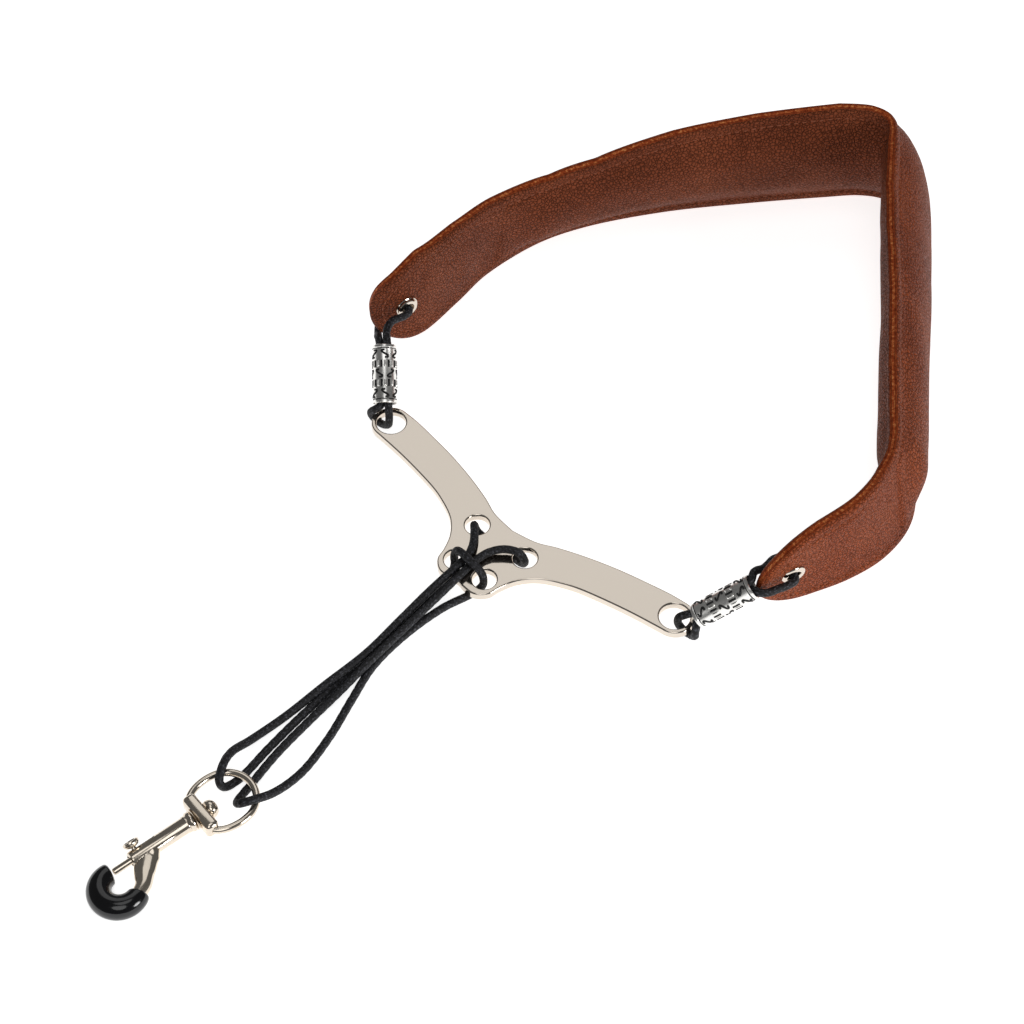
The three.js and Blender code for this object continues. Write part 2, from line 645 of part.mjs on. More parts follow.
// Each loop starts and ends inside its bead, where the two ends are joined.
const LOOPS = {
  right: [
    [75.9, 1.4, 15], [78.6, 4.9, 17.9], [81.3, 8.3, 20.5], [83.2, 8.2, 21.2], [85.3, 9.6, 21.5], [87.1, 13.4, 21.4],
    [88.7, 17, 21.4], [89, 19.6, 21.4], [87.5, 20.9, 21.5], [85.2, 21.9, 21.8], [83, 23.1, 22.1], [80.8, 24.1, 22.3],
    [78.7, 21.9, 21.3], [78.1, 17.8, 20.2], [77.6, 12.9, 22.5], [78.8, 9.2, 21.8], [76.3, 5.9, 19],
    [73.3, 2, 15.8], [68.2, -4.7, 10.4], [66.2, -5.9, 8.6], [64, -7.1, 6.2], [64, -7.4, 3.4], [66.3, -7.2, 1.5],
    [69.2, -7.3, 1.5], [71.2, -7.8, 3.2], [71.5, -8.2, 5.4], [71.3, -7.6, 7.4], [70.6, -5.9, 9.2], [75.5, 0.9, 14.6],
  ],
  left: [
    [-74.4, 0.3, 14.6], [-77, 3.2, 17.1], [-79.9, 6.4, 19.9], [-82.4, 8.5, 20.8], [-85.8, 11.4, 17.2],
    [-88.5, 14.1, 12.8], [-90.5, 16.3, 9.9], [-92.8, 18.5, 8.9], [-94.5, 21.3, 11.2], [-94.9, 24, 15.5],
    [-93.8, 26.3, 20.3], [-91.4, 26.9, 22.3], [-89.2, 26.5, 22.4],
    [-86.9, 25.8, 22.3], [-84.6, 25.1, 22.2], [-82.5, 24.2, 22.1], [-82.2, 21.4, 22], [-83.7, 16.6, 22],
    [-82.2, 12.4, 21.8], [-77.7, 7.9, 21.3], [-74.8, 4.8, 18.4], [-71.8, 1.4, 15.5], [-66.2, -4.7, 10.5],
    [-64.7, -6.1, 8.6], [-63.8, -7.1, 6], [-64.1, -7.4, 3.3], [-66.5, -7.4, 1.5], [-69.2, -7.6, 1.5],
    [-71.1, -8.1, 3.3], [-71, -8.5, 5.9], [-69.5, -8.1, 7.8], [-68.4, -5.9, 9.4], [-74, -0.2, 14.2],
  ],
};

function makeLoop(label) {
  const points = LOOPS[label].map((point) => new THREE.Vector3(...point));
  addPiece(`loop_cord_${label}`, tube(new RouteCurve(points), CORD / 2, 56, CORD_SIDES), cordage);
}

// ---------------------------------------------------------------- adjustment cord

// One closed loop of cord: its ends meet under the plate between the two middle holes. Strands a and b run
// over the plate, c and d under it, and the keeper binds them across the two lower holes.
const STRANDS = {
  start: [[-0.5, -21.5, 1.5], [-6.5, -21.5, 1.5], [-10.2, -21.8, 3]],
  a: [
    [-11, -22.4, 6.4], [-8.6, -25, 7.8], [-5.5, -29, 7.8], [-3.4, -34, 7.8], [-3.2, -41, 7.7], [-4.4, -52, 5.2],
    [-4.2, -66, 4.3], [-3.5, -83, 4.3], [-5.6, -100, 3], [-7.4, -116, 1.7], [-9.1, -130, 2.3],
  ],
  leftBight: [[-8.9, -138.5, 5.4], [-6.4, -144.6, 7.2], [-4.2, -148.4, 5.2], [-3.1, -147.6, 2.2]],
  d: [
    [-2.1, -142.5, 1.5], [-3.1, -128, 1.5], [-3.8, -112, 1.5], [-3.6, -92, 1.5], [-3.4, -72, 1.5], [-4, -54, 1.5],
    [-5.2, -41.4, 1.5],
  ],
  keeper: [
    [-6.2, -37.8, 3.2], [-7.2, -36.5, 7], [-6.2, -36.2, 10], [-3.3, -36.6, 11.2], [0.6, -37.2, 11.2],
    [3.8, -37, 9.6], [5.6, -36.8, 6.6],
  ],
  c: [
    [6.1, -37.6, 3.2], [4.8, -41.6, 1.5], [1.6, -52, 1.5], [-0.4, -68, 1.5], [0.2, -84, 1.5], [4, -98, 1.5],
    [8.4, -113, 1.5], [11, -128, 1.8], [11, -140, 4.6],
  ],
  rightBight: [[9.2, -147.2, 7.2], [6.2, -150, 5.4], [3.6, -148.6, 2.2]],
  b: [
    [2.2, -142, 1.5], [0.2, -128, 1.5], [-0.7, -112, 1.5], [-0.6, -98, 2.6], [-0.6, -84, 4.3], [-1, -66, 4.3],
    [-0.9, -52, 5.2], [0, -42, 7.7], [-0.1, -35, 7.8], [1, -29, 8], [4.4, -24.8, 8.6], [8.6, -22.4, 8],
    [10.6, -21.8, 5], [9.8, -21.5, 2.2],
  ],
  end: [[6, -21.5, 1.5], [0.2, -21.5, 1.5]],
};

function makeMainCord() {
  const points = Object.values(STRANDS).flat().map((point) => new THREE.Vector3(...point));
  addPiece('main_cord', tube(new RouteCurve(points), CORD / 2, 84, CORD_SIDES), cordage);
}

makeBand();
makeEyelet(-1, 'left');
makeEyelet(1, 'right');
makeYoke();
makeRing();
makeRivet();
makeHookBody();
makeBolt();
makeSpring();
makeSleeve();
for (const label of ['left', 'right']) {
  makeBead(label);
  makeLoop(label);
}
makeMainCord();

export default strap;
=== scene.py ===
"""A padded leather saxophone neck strap lying on a white table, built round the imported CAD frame."""
import math

import bmesh
import bpy
import numpy as np
from mathutils import Matrix, Vector, noise


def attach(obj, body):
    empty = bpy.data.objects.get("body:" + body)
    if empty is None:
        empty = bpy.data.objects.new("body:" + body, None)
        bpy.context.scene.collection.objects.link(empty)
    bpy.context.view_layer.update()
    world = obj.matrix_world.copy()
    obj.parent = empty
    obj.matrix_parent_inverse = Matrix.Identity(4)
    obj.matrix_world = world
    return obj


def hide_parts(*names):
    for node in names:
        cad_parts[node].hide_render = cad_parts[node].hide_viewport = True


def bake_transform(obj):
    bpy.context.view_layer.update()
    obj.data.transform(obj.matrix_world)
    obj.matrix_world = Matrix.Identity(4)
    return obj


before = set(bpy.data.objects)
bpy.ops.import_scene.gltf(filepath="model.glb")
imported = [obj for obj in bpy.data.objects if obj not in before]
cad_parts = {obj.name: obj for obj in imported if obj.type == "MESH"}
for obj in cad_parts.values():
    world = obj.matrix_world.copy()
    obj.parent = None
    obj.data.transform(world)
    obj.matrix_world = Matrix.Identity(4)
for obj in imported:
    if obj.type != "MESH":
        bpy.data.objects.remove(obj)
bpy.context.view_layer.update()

MM = 0.001
scene = bpy.context.scene

# ---------------------------------------------------------------- dimensions, millimetres

CORD = 2.7
GAP = 0.3
LEATHER = 1.4
CORE = 1.0
RIM_HALF = CORE / 2 + GAP + LEATHER

# The foot of the band, from tip to tip: x, y and how far it leans outwards there, in degrees.
BAND_PATH = [
    (-94.3, 16.3, 5), (-89, 22.5, 3), (-86.2, 33, 0), (-87.3, 52, 3), (-89, 70, 8), (-85.5, 94, 15),
    (-77.7, 112.5, 16), (-60.6, 138, 11), (-40.6, 161.5, 8.5), (-20, 184, 8), (-10.6, 193.5, 10.5),
    (-3.3, 197.8, 13), (2.8, 199, 15), (8.7, 197.3, 16), (17.5, 192, 18), (34, 171, 19.5), (44.8, 155.3, 19),
    (60.5, 131, 16.5), (76.8, 106.5, 16), (86.5, 91.5, 15), (95, 76, 13), (96.5, 60, 8), (93, 45, 1),
    (86, 29.5, -5), (77.5, 12.5, -12),
]
TIP_WIDTH = 40
MIDDLE_WIDTH = 52
TIP_RISE = 2.4
TIP_RISE_LENGTH = 70
BACK_REACH = 24
BACK_REACH_LENGTH = 70
PAD = 5.6
PAD_CROWN = 2.4
PAD_RIM = 0.6
PAD_MARGIN = 7
PAD_END_MARGIN = 62
SEAM = 4.5
EYELET_TO_TIP = 12

# Each bead's axis, from its lower end to its upper end.
BEADS = {
    "left": ((-67.3, -5.2, 9.9), (-78.8, 7.4, 20.8)),
    "right": ((69.4, -5.3, 9.8), (80.3, 8.9, 21.3)),
}

# Points along each cord, end to end.
LOOPS = {
    "right": [
        (75.9, 1.4, 15), (78.6, 4.9, 17.9), (81.3, 8.3, 20.5), (83.2, 8.2, 21.2), (85.3, 9.6, 21.5),
        (87.1, 13.4, 21.4), (88.7, 17, 21.4), (89, 19.6, 21.4), (87.5, 20.9, 21.5), (85.2, 21.9, 21.8),
        (83, 23.1, 22.1), (80.8, 24.1, 22.3), (78.7, 21.9, 21.3), (78.1, 17.8, 20.2), (77.6, 12.9, 22.5),
        (78.8, 9.2, 21.8), (76.3, 5.9, 19), (73.3, 2, 15.8), (68.2, -4.7, 10.4), (66.2, -5.9, 8.6),
        (64, -7.1, 6.2), (64, -7.4, 3.4), (66.3, -7.2, 1.5), (69.2, -7.3, 1.5), (71.2, -7.8, 3.2),
        (71.5, -8.2, 5.4), (71.3, -7.6, 7.4), (70.6, -5.9, 9.2), (75.5, 0.9, 14.6),
    ],
    "left": [
        (-74.4, 0.3, 14.6), (-77, 3.2, 17.1), (-79.9, 6.4, 19.9), (-82.4, 8.5, 20.8), (-85.8, 11.4, 17.2),
        (-88.5, 14.1, 12.8), (-90.5, 16.3, 9.9), (-92.8, 18.5, 8.9), (-94.5, 21.3, 11.2), (-94.9, 24, 15.5),
        (-93.8, 26.3, 20.3), (-91.4, 26.9, 22.3), (-89.2, 26.5, 22.4),
        (-86.9, 25.8, 22.3), (-84.6, 25.1, 22.2), (-82.5, 24.2, 22.1), (-82.2, 21.4, 22), (-83.7, 16.6, 22),
        (-82.2, 12.4, 21.8), (-77.7, 7.9, 21.3), (-74.8, 4.8, 18.4), (-71.8, 1.4, 15.5),
        (-66.2, -4.7, 10.5), (-64.7, -6.1, 8.6), (-63.8, -7.1, 6), (-64.1, -7.4, 3.3), (-66.5, -7.4, 1.5),
        (-69.2, -7.6, 1.5), (-71.1, -8.1, 3.3), (-71, -8.5, 5.9), (-69.5, -8.1, 7.8), (-68.4, -5.9, 9.4),
        (-74, -0.2, 14.2),
    ],
}
MAIN_CORD = [
    (-0.5, -21.5, 1.5), (-6.5, -21.5, 1.5), (-10.2, -21.8, 3),
    (-11, -22.4, 6.4), (-8.6, -25, 7.8), (-5.5, -29, 7.8), (-3.4, -34, 7.8), (-3.2, -41, 7.7),
    (-4.4, -52, 5.2),
    (-4.2, -66, 4.3), (-3.5, -83, 4.3), (-5.6, -100, 3), (-7.4, -116, 1.7), (-9.1, -130, 2.3),
    (-8.9, -138.5, 5.4), (-6.4, -144.6, 7.2), (-4.2, -148.4, 5.2), (-3.1, -147.6, 2.2),
    (-2.1, -142.5, 1.5), (-3.1, -128, 1.5), (-3.8, -112, 1.5), (-3.6, -92, 1.5), (-3.4, -72, 1.5),
    (-4, -54, 1.5), (-5.2, -41.4, 1.5),
    (-6.2, -37.8, 3.2), (-7.2, -36.5, 7), (-6.2, -36.2, 10), (-3.3, -36.6, 11.2), (0.6, -37.2, 11.2),
    (3.8, -37, 9.6), (5.6, -36.8, 6.6),
    (6.1, -37.6, 3.2), (4.8, -41.6, 1.5), (1.6, -52, 1.5), (-0.4, -68, 1.5), (0.2, -84, 1.5), (4, -98, 1.5),
    (8.4, -113, 1.5), (11, -128, 1.8), (11, -140, 4.6),
    (9.2, -147.2, 7.2), (6.2, -150, 5.4), (3.6, -148.6, 2.2),
    (2.2, -142, 1.5), (0.2, -128, 1.5), (-0.7, -112, 1.5), (-0.6, -98, 2.6), (-0.6, -84, 4.3), (-1, -66, 4.3),
    (-0.9, -52, 5.2), (0, -42, 7.7), (-0.1, -35, 7.8), (1, -29, 8), (4.4, -24.8, 8.6), (8.6, -22.4, 8),
    (10.6, -21.8, 5), (9.8, -21.5, 2.2),
    (6, -21.5, 1.5), (0.2, -21.5, 1.5),
]

# The round end of the yoke's right arm, as its centre's x and y and its radius, and the plate's middle height.
YOKE_END = (62.5, -7.5, 6.8)
YOKE_MIDDLE = 4.5

HOOK_PLACE = (-0.4, -160.2, 4.1)
HOOK_YAW = math.radians(-10)

# ---------------------------------------------------------------- camera and light

CAMERA_PLACE = (334.3, -398.9, 662.6)
CAMERA_TARGET = (-8.4, -6.3, 0)
LENS = 87.9
WORLD_STRENGTH = 0.12
# Each lamp's name, place, width and power in watts. The yoke's face mirrors the first one to the camera.
LIGHTS = [
    ("overhead", (-480, 550, 930), 900, 1.6),
    ("ceiling", (60, -60, 1350), 620, 1.1),
    ("key", (610, -760, 1180), 900, 3.2),
    ("side", (1100, 100, 420), 420, 5),
]
TABLE_HALF_WIDTH = 4000
TABLE_DROP = 0.2
TABLE_GLOW = 0.8


def aim(obj, place, target):
    obj.location = Vector(place) * MM
    direction = (Vector(target) - Vector(place)).normalized()
    obj.rotation_euler = direction.to_track_quat("-Z", "Y").to_euler()


def add_camera():
    data = bpy.data.cameras.new("camera")
    data.lens = LENS
    data.sensor_width = 36
    data.clip_start = 0.01
    camera = bpy.data.objects.new("camera", data)
    scene.collection.objects.link(camera)
    aim(camera, CAMERA_PLACE, CAMERA_TARGET)
    scene.camera = camera


def add_light(name, place, size, power):
    data = bpy.data.lights.new(name, "AREA")
    data.shape = "DISK"
    data.size = size * MM
    data.energy = power
    light = bpy.data.objects.new(name, data)
    scene.collection.objects.link(light)
    aim(light, place, (0, 0, 0))


def add_table():
    """A table that glows, so that it stays white and the shadows on it are faint."""
    half = TABLE_HALF_WIDTH * MM
    mesh = bpy.data.meshes.new("table")
    corners = [(-half, -half, 0), (half, -half, 0), (half, half, 0), (-half, half, 0)]
    mesh.from_pydata(corners, [], [(0, 1, 2, 3)])
    table = bpy.data.objects.new("table", mesh)
    scene.collection.objects.link(table)
    table.location.z = -TABLE_DROP * MM
    white, _, shader = new_material("table_white", Roughness=0.9, Specular_IOR_Level=0)
    shader.inputs["Base Color"].default_value = (0.93, 0.93, 0.93, 1)
    shader.inputs["Emission Color"].default_value = (1, 1, 1, 1)
    shader.inputs["Emission Strength"].default_value = TABLE_GLOW
    mesh.materials.append(white)


def add_stage():
    world = bpy.data.worlds.new("studio")
    world.use_nodes = True
    world.node_tree.nodes["Background"].inputs["Color"].default_value = (1, 1, 1, 1)
    world.node_tree.nodes["Background"].inputs["Strength"].default_value = WORLD_STRENGTH
    scene.world = world
    scene.view_settings.view_transform = "Standard"
    for light in LIGHTS:
        add_light(*light)
    add_table()


# ---------------------------------------------------------------- material helpers


def new_material(name, **values):
    """A principled material with these values set on its own sockets, its node tree and its shader."""
    material = bpy.data.materials.new(name)
    material.use_nodes = True
    shader = material.node_tree.nodes["Principled BSDF"]
    for key, value in values.items():
        shader.inputs[key.replace("_", " ")].default_value = value
    return material, material.node_tree, shader


def add_node(tree, kind, **settings):
    """A node with these settings, each one an attribute of the node or the value of an input."""
    node = tree.nodes.new(kind)
    for key, value in settings.items():
        if hasattr(node, key):
            setattr(node, key, value)
        else:
            node.inputs[key.replace("_", " ")].default_value = value
    return node


def ramp(tree, source, stops):
    """Colours by position along the source value."""
    node = tree.nodes.new("ShaderNodeValToRGB")
    elements = node.color_ramp.elements
    while len(elements) < len(stops):
        elements.new(0.5)
    for element, (position, colour) in zip(elements, stops):
        element.position = position
        element.color = (*colour, 1)
    tree.links.new(source, node.inputs["Fac"])
    return node.outputs["Color"]


def grey(value):
    return (value, value, value)


def bump(tree, shader, height, strength, distance):
    """Bumps of the given height in metres."""
    node = add_node(tree, "ShaderNodeBump", Strength=strength, Distance=distance)
    tree.links.new(height, node.inputs["Height"])
    tree.links.new(node.outputs["Normal"], shader.inputs["Normal"])


def leather_material(name, dark, mid, light, roughness):
    """Pebble-grained leather: small raised cells, painted shade darkening the creases between them, and a slow
    drift of tone.
    """
    material, tree, shader = new_material(name, Specular_IOR_Level=0.06)
    coords = add_node(tree, "ShaderNodeTexCoord").outputs["Object"]
    wobble = add_node(tree, "ShaderNodeTexNoise", Scale=420, Detail=3)
    tree.links.new(coords, wobble.inputs["Vector"])
    shift = add_node(tree, "ShaderNodeVectorMath", operation="SCALE", Scale=0.0005)
    tree.links.new(wobble.outputs["Color"], shift.inputs[0])
    place = add_node(tree, "ShaderNodeVectorMath", operation="ADD")
    tree.links.new(coords, place.inputs[0])
    tree.links.new(shift.outputs["Vector"], place.inputs[1])
    cells = add_node(tree, "ShaderNodeTexVoronoi", feature="DISTANCE_TO_EDGE", Scale=820)
    tree.links.new(place.outputs["Vector"], cells.inputs["Vector"])
    pebble = ramp(tree, cells.outputs["Distance"], [(0, grey(0)), (0.1, grey(0.6)), (0.32, grey(1))])
    drift = add_node(tree, "ShaderNodeTexNoise", Scale=38, Detail=4, Roughness=0.6)
    tree.links.new(coords, drift.inputs["Vector"])
    tone = ramp(tree, drift.outputs["Fac"], [(0.3, dark), (0.52, mid), (0.75, light)])
    # Painted shade: the base colour is multiplied darker in the creases between the pebbles.
    crease = add_node(tree, "ShaderNodeMix", data_type="RGBA", blend_type="MULTIPLY")
    crease.inputs["Factor"].default_value = 1
    tree.links.new(tone, crease.inputs["A"])
    tree.links.new(ramp(tree, pebble, [(0, grey(0.42)), (0.75, grey(1))]), crease.inputs["B"])
    tree.links.new(crease.outputs["Result"], shader.inputs["Base Color"])
    low, high = roughness
    polish = ramp(tree, pebble, [(0, grey(high)), (1, grey(low))])
    tree.links.new(polish, shader.inputs["Roughness"])
    bump(tree, shader, pebble, 1.0, 0.0005)
    return material


def edge_paint_material(name, dark, mid, light):
    """A painted cut edge, uneven and a little worn."""
    material, tree, shader = new_material(name, Roughness=0.6, Specular_IOR_Level=0.06)
    coords = add_node(tree, "ShaderNodeTexCoord").outputs["Object"]
    fibre = add_node(tree, "ShaderNodeTexNoise", Scale=900, Detail=5, Roughness=0.7)
    tree.links.new(coords, fibre.inputs["Vector"])
    colour = ramp(tree, fibre.outputs["Fac"], [(0.3, dark), (0.5, mid), (0.66, light)])
    tree.links.new(colour, shader.inputs["Base Color"])
    bump(tree, shader, fibre.outputs["Fac"], 0.7, 0.0003)
    return material


def metal_material(name, colour, roughness):
    """Polished metal with faint cloudiness in its gloss."""
    material, tree, shader = new_material(name, Metallic=1.0, Base_Color=(*colour, 1))
    coords = add_node(tree, "ShaderNodeTexCoord").outputs["Object"]
    cloud = add_node(tree, "ShaderNodeTexNoise", Scale=120, Detail=6, Roughness=0.65)
    tree.links.new(coords, cloud.inputs["Vector"])
    gloss = ramp(tree, cloud.outputs["Fac"], [(0.35, grey(roughness)), (0.7, grey(roughness + METAL_WEAR))])
    tree.links.new(gloss, shader.inputs["Roughness"])
    return material


def braid_material():
    """Black woven yarn, with grey flecks where it catches the light."""
    material, tree, shader = new_material("braid", Roughness=0.62, Specular_IOR_Level=0.3)
    uv = add_node(tree, "ShaderNodeTexCoord").outputs["UV"]
    flecks = add_node(tree, "ShaderNodeTexNoise", Scale=1.0, Detail=2)
    stretch = add_node(tree, "ShaderNodeMapping")
    stretch.inputs["Scale"].default_value = (14, 1.1, 1)
    tree.links.new(uv, stretch.inputs["Vector"])
    tree.links.new(stretch.outputs["Vector"], flecks.inputs["Vector"])
    stops = [(0.4, grey(0.007)), (0.55, (0.02, 0.02, 0.024)), (0.7, (0.09, 0.092, 0.105))]
    colour = ramp(tree, flecks.outputs["Fac"], stops)
    tree.links.new(colour, shader.inputs["Base Color"])
    return material


def rubber_material():
    """Glossy black rubber with a slight ripple."""
    black = (0.002, 0.002, 0.003, 1)
    material, tree, shader = new_material(
        "sleeve_rubber", Roughness=0.14, Base_Color=black, Coat_Weight=0.2, Coat_Roughness=0.05
    )
    coords = add_node(tree, "ShaderNodeTexCoord").outputs["Object"]
    ripple = add_node(tree, "ShaderNodeTexNoise", Scale=160, Detail=2)
    tree.links.new(coords, ripple.inputs["Vector"])
    bump(tree, shader, ripple.outputs["Fac"], 0.25, 0.0004)
    return material


METAL_WEAR = 0.05
LEATHER_OUT = leather_material(
    "leather_outer", (0.23, 0.046, 0.014), (0.3, 0.064, 0.02), (0.36, 0.084, 0.028), (0.38, 0.62)
)
LEATHER_IN = leather_material(
    "leather_lining", (0.18, 0.044, 0.017), (0.23, 0.058, 0.023), (0.29, 0.078, 0.032), (0.42, 0.66)
)
EDGE_PAINT = edge_paint_material(
    "edge_paint", (0.12, 0.016, 0.005), (0.26, 0.045, 0.012), (0.42, 0.095, 0.026)
)
CORE_PAINT = edge_paint_material(
    "core_paint", (0.16, 0.022, 0.006), (0.42, 0.075, 0.018), (0.8, 0.3, 0.1)
)
THREAD, _, _ = new_material("thread", Roughness=0.6, Base_Color=(0.25, 0.06, 0.018, 1))
NICKEL = metal_material("nickel", (0.68, 0.61, 0.53), 0.07)
HOOK_NICKEL = metal_material("hook_nickel", (0.72, 0.64, 0.54), 0.12)
SILVER = metal_material("bead_silver", (0.86, 0.85, 0.82), 0.26)
DARK_RECESS, _, _ = new_material(
    "bead_recess", Roughness=0.5, Metallic=0.4, Base_Color=(0.012, 0.012, 0.012, 1)
)
STEEL = metal_material("spring_steel", (0.45, 0.45, 0.46), 0.25)
BRAID = braid_material()
RUBBER = rubber_material()

add_camera()
add_stage()

# ---------------------------------------------------------------- mesh helpers


def add_piece(name, vertices, faces, materials, body, face_materials=None):
    """An object from vertices in millimetres. It rides on the body and has the slot, where given."""
    mesh = bpy.data.meshes.new(name)
    mesh.from_pydata([tuple(v) for v in np.asarray(vertices) * MM], [], faces)
    for material in materials:
        mesh.materials.append(material)
    if face_materials is not None:
        mesh.polygons.foreach_set("material_index", face_materials)
    mesh.polygons.foreach_set("use_smooth", [True] * len(mesh.polygons))
    mesh.update()
    piece = bpy.data.objects.new(name, mesh)
    scene.collection.objects.link(piece)
    if body:
        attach(piece, body)
    return piece


def sharpen(piece, degrees=35):
    """Keeps edges sharper than this crisp under smooth shading."""
    mesh = bmesh.new()
    mesh.from_mesh(piece.data)
    limit = math.radians(degrees)
    for edge in mesh.edges:
        edge.smooth = len(edge.link_faces) == 2 and edge.calc_face_angle(0) < limit
    mesh.to_mesh(piece.data)
    mesh.free()
    return piece


def merge(parts):
    """Joins (vertices, faces) parts into one list of each."""
    vertices, faces = [], []
    for part_vertices, part_faces in parts:
        start = len(vertices)
        vertices.extend([tuple(v) for v in part_vertices])
        faces.extend([tuple(i + start for i in face) for face in part_faces])
    return vertices, faces


def catmull(points, per_span):
    """Centripetal Catmull-Rom through the points."""
    p = [np.array(q, float) for q in points]
    p = [2 * p[0] - p[1]] + p + [2 * p[-1] - p[-2]]
    result = []
    for i in range(1, len(p) - 2):
        d0, d1, d2 = (max(np.linalg.norm(p[i + k] - p[i + k - 1]) ** 0.5, 1e-4) for k in (0, 1, 2))
        start = (p[i] - p[i - 1]) / d0 - (p[i + 1] - p[i - 1]) / (d0 + d1) + (p[i + 1] - p[i]) / d1
        end = (p[i + 1] - p[i]) / d1 - (p[i + 2] - p[i]) / (d1 + d2) + (p[i + 2] - p[i + 1]) / d2
        start, end = start * d1, end * d1
        for k in range(per_span):
            t = k / per_span
            cubic = 2 * p[i] - 2 * p[i + 1] + start + end
            square = -3 * p[i] + 3 * p[i + 1] - 2 * start - end
            result.append(p[i] + start * t + square * t * t + cubic * t ** 3)
    result.append(p[-2])
    return np.array(result)


def even(points, step):
    """The polyline resampled at an even step, and each new point's place along it."""
    lengths = np.r_[0, np.cumsum(np.linalg.norm(np.diff(points, axis=0), axis=1))]
    places = np.linspace(0, lengths[-1], max(int(lengths[-1] / step), 2) + 1)
    return np.stack([np.interp(places, lengths, points[:, k]) for k in range(3)], axis=1), places


def sweep_frames(path):
    """Sideways directions along a path that don't twist."""
    along = np.gradient(path, axis=0)
    along /= np.linalg.norm(along, axis=1)[:, None]
    start = np.cross(along[0], (0, 0, 1))
    if np.linalg.norm(start) < 0.1:
        start = np.cross(along[0], (0, 1, 0))
    sides = [start / np.linalg.norm(start)]
    for direction in along[1:]:
        side = sides[-1] - direction * np.dot(sides[-1], direction)
        sides.append(side / np.linalg.norm(side))
    sides = np.array(sides)
    return sides, np.cross(along, sides)


def swept(path, radius_at, sides, stretch=None):
    """A closed tube along the path. radius_at(i, angles) gives ring i's radii, and stretch(i) flattens it."""
    across, over = sweep_frames(path)
    angles = np.linspace(0, 2 * math.pi, sides, endpoint=False)
    vertices = []
    for i, centre in enumerate(path):
        radii = radius_at(i, angles)
        flat = 1 if stretch is None else stretch(i)
        ring = np.outer(radii * np.cos(angles), across[i]) + np.outer(radii * np.sin(angles) * flat, over[i])
        vertices.extend(centre + ring)
    faces = []
    for i in range(len(path) - 1):
        for j in range(sides):
            k = (j + 1) % sides
            faces.append((i * sides + j, i * sides + k, (i + 1) * sides + k, (i + 1) * sides + j))
    last = (len(path) - 1) * sides
    faces.append(tuple(reversed(range(sides))))
    faces.append(tuple(range(last, last + sides)))
    return vertices, faces


def tube(path, radius, sides):
    """A closed round tube of one radius along the path."""
    return swept(path, lambda i, angles: np.full(len(angles), radius), sides)


def lathe(profile, sides=48):
    """A closed solid turned about Y from [radius, y] points, listed as one loop or from axis to axis."""
    vertices, rings = [], []
    for radius, y in profile:
        if radius == 0:
            rings.append([len(vertices)])
            vertices.append((0, y, 0))
            continue
        rings.append(list(range(len(vertices), len(vertices) + sides)))
        for j in range(sides):
            angle = 2 * math.pi * j / sides
            vertices.append((radius * math.sin(angle), y, radius * math.cos(angle)))
    faces = []
    closed = profile[0][0] != 0
    for i in range(len(rings) - (0 if closed else 1)):
        low, high = rings[i], rings[(i + 1) % len(rings)]
        for j in range(sides):
            k = (j + 1) % sides
            if len(low) == 1:
                faces.append((low[0], high[k], high[j]))
            elif len(high) == 1:
                faces.append((low[j], low[k], high[0]))
            else:
                faces.append((low[j], low[k], high[k], high[j]))
    return vertices, faces


def moved(part, matrix):
    """The part's vertices under the matrix, with the same faces."""
    vertices, faces = part
    return [tuple(matrix @ Vector(v)) for v in vertices], faces


def onto(point, direction):
    """Puts +Y along the direction, at the point."""
    turn = Vector((0, 1, 0)).rotation_difference(Vector(direction)).to_matrix().to_4x4()
    return Matrix.Translation(Vector(point)) @ turn


def outward(piece):
    """Makes every face point outwards."""
    mesh = bmesh.new()
    mesh.from_mesh(piece.data)
    bmesh.ops.recalc_face_normals(mesh, faces=mesh.faces)
    mesh.to_mesh(piece.data)
    mesh.free()
    return piece


def cut(piece, *parts):
    """Cuts solids out of the piece and keeps the result as its mesh."""
    cutters = []
    for i, (vertices, faces) in enumerate(parts):
        cutter = outward(add_piece(f"cutter_{i}", vertices, faces, [], None))
        modifier = piece.modifiers.new("cut", "BOOLEAN")
        modifier.object = cutter
        modifier.solver = "EXACT"
        cutters.append(cutter)
    return bake(piece, cutters)


def join_solids(piece, *parts):
    """Adds solids to the piece as one skin."""
    others = []
    for i, (vertices, faces) in enumerate(parts):
        other = outward(add_piece(f"part_{i}", vertices, faces, [], None))
        modifier = piece.modifiers.new("join", "BOOLEAN")
        modifier.operation = "UNION"
        modifier.object = other
        modifier.solver = "EXACT"
        others.append(other)
    return bake(piece, others)


def bake(piece, helpers):
    """Applies the piece's modifiers and removes the helper objects they used."""
    shaped = bpy.data.meshes.new_from_object(piece.evaluated_get(bpy.context.evaluated_depsgraph_get()))
    materials = list(piece.data.materials)
    piece.modifiers.clear()
    piece.data = shaped
    if not shaped.materials:
        for material in materials:
            shaped.materials.append(material)
    shaped.polygons.foreach_set("use_smooth", [True] * len(shaped.polygons))
    for helper in helpers:
        bpy.data.objects.remove(helper)
    return piece


# ---------------------------------------------------------------- cords

BRAID_WAVES = 6
BRAID_PITCH = 3.4
BRAID_DEPTH = 0.045
BRAID_MEAN = 0.6
CORD_STEP = 0.42
CORD_SIDES = 30


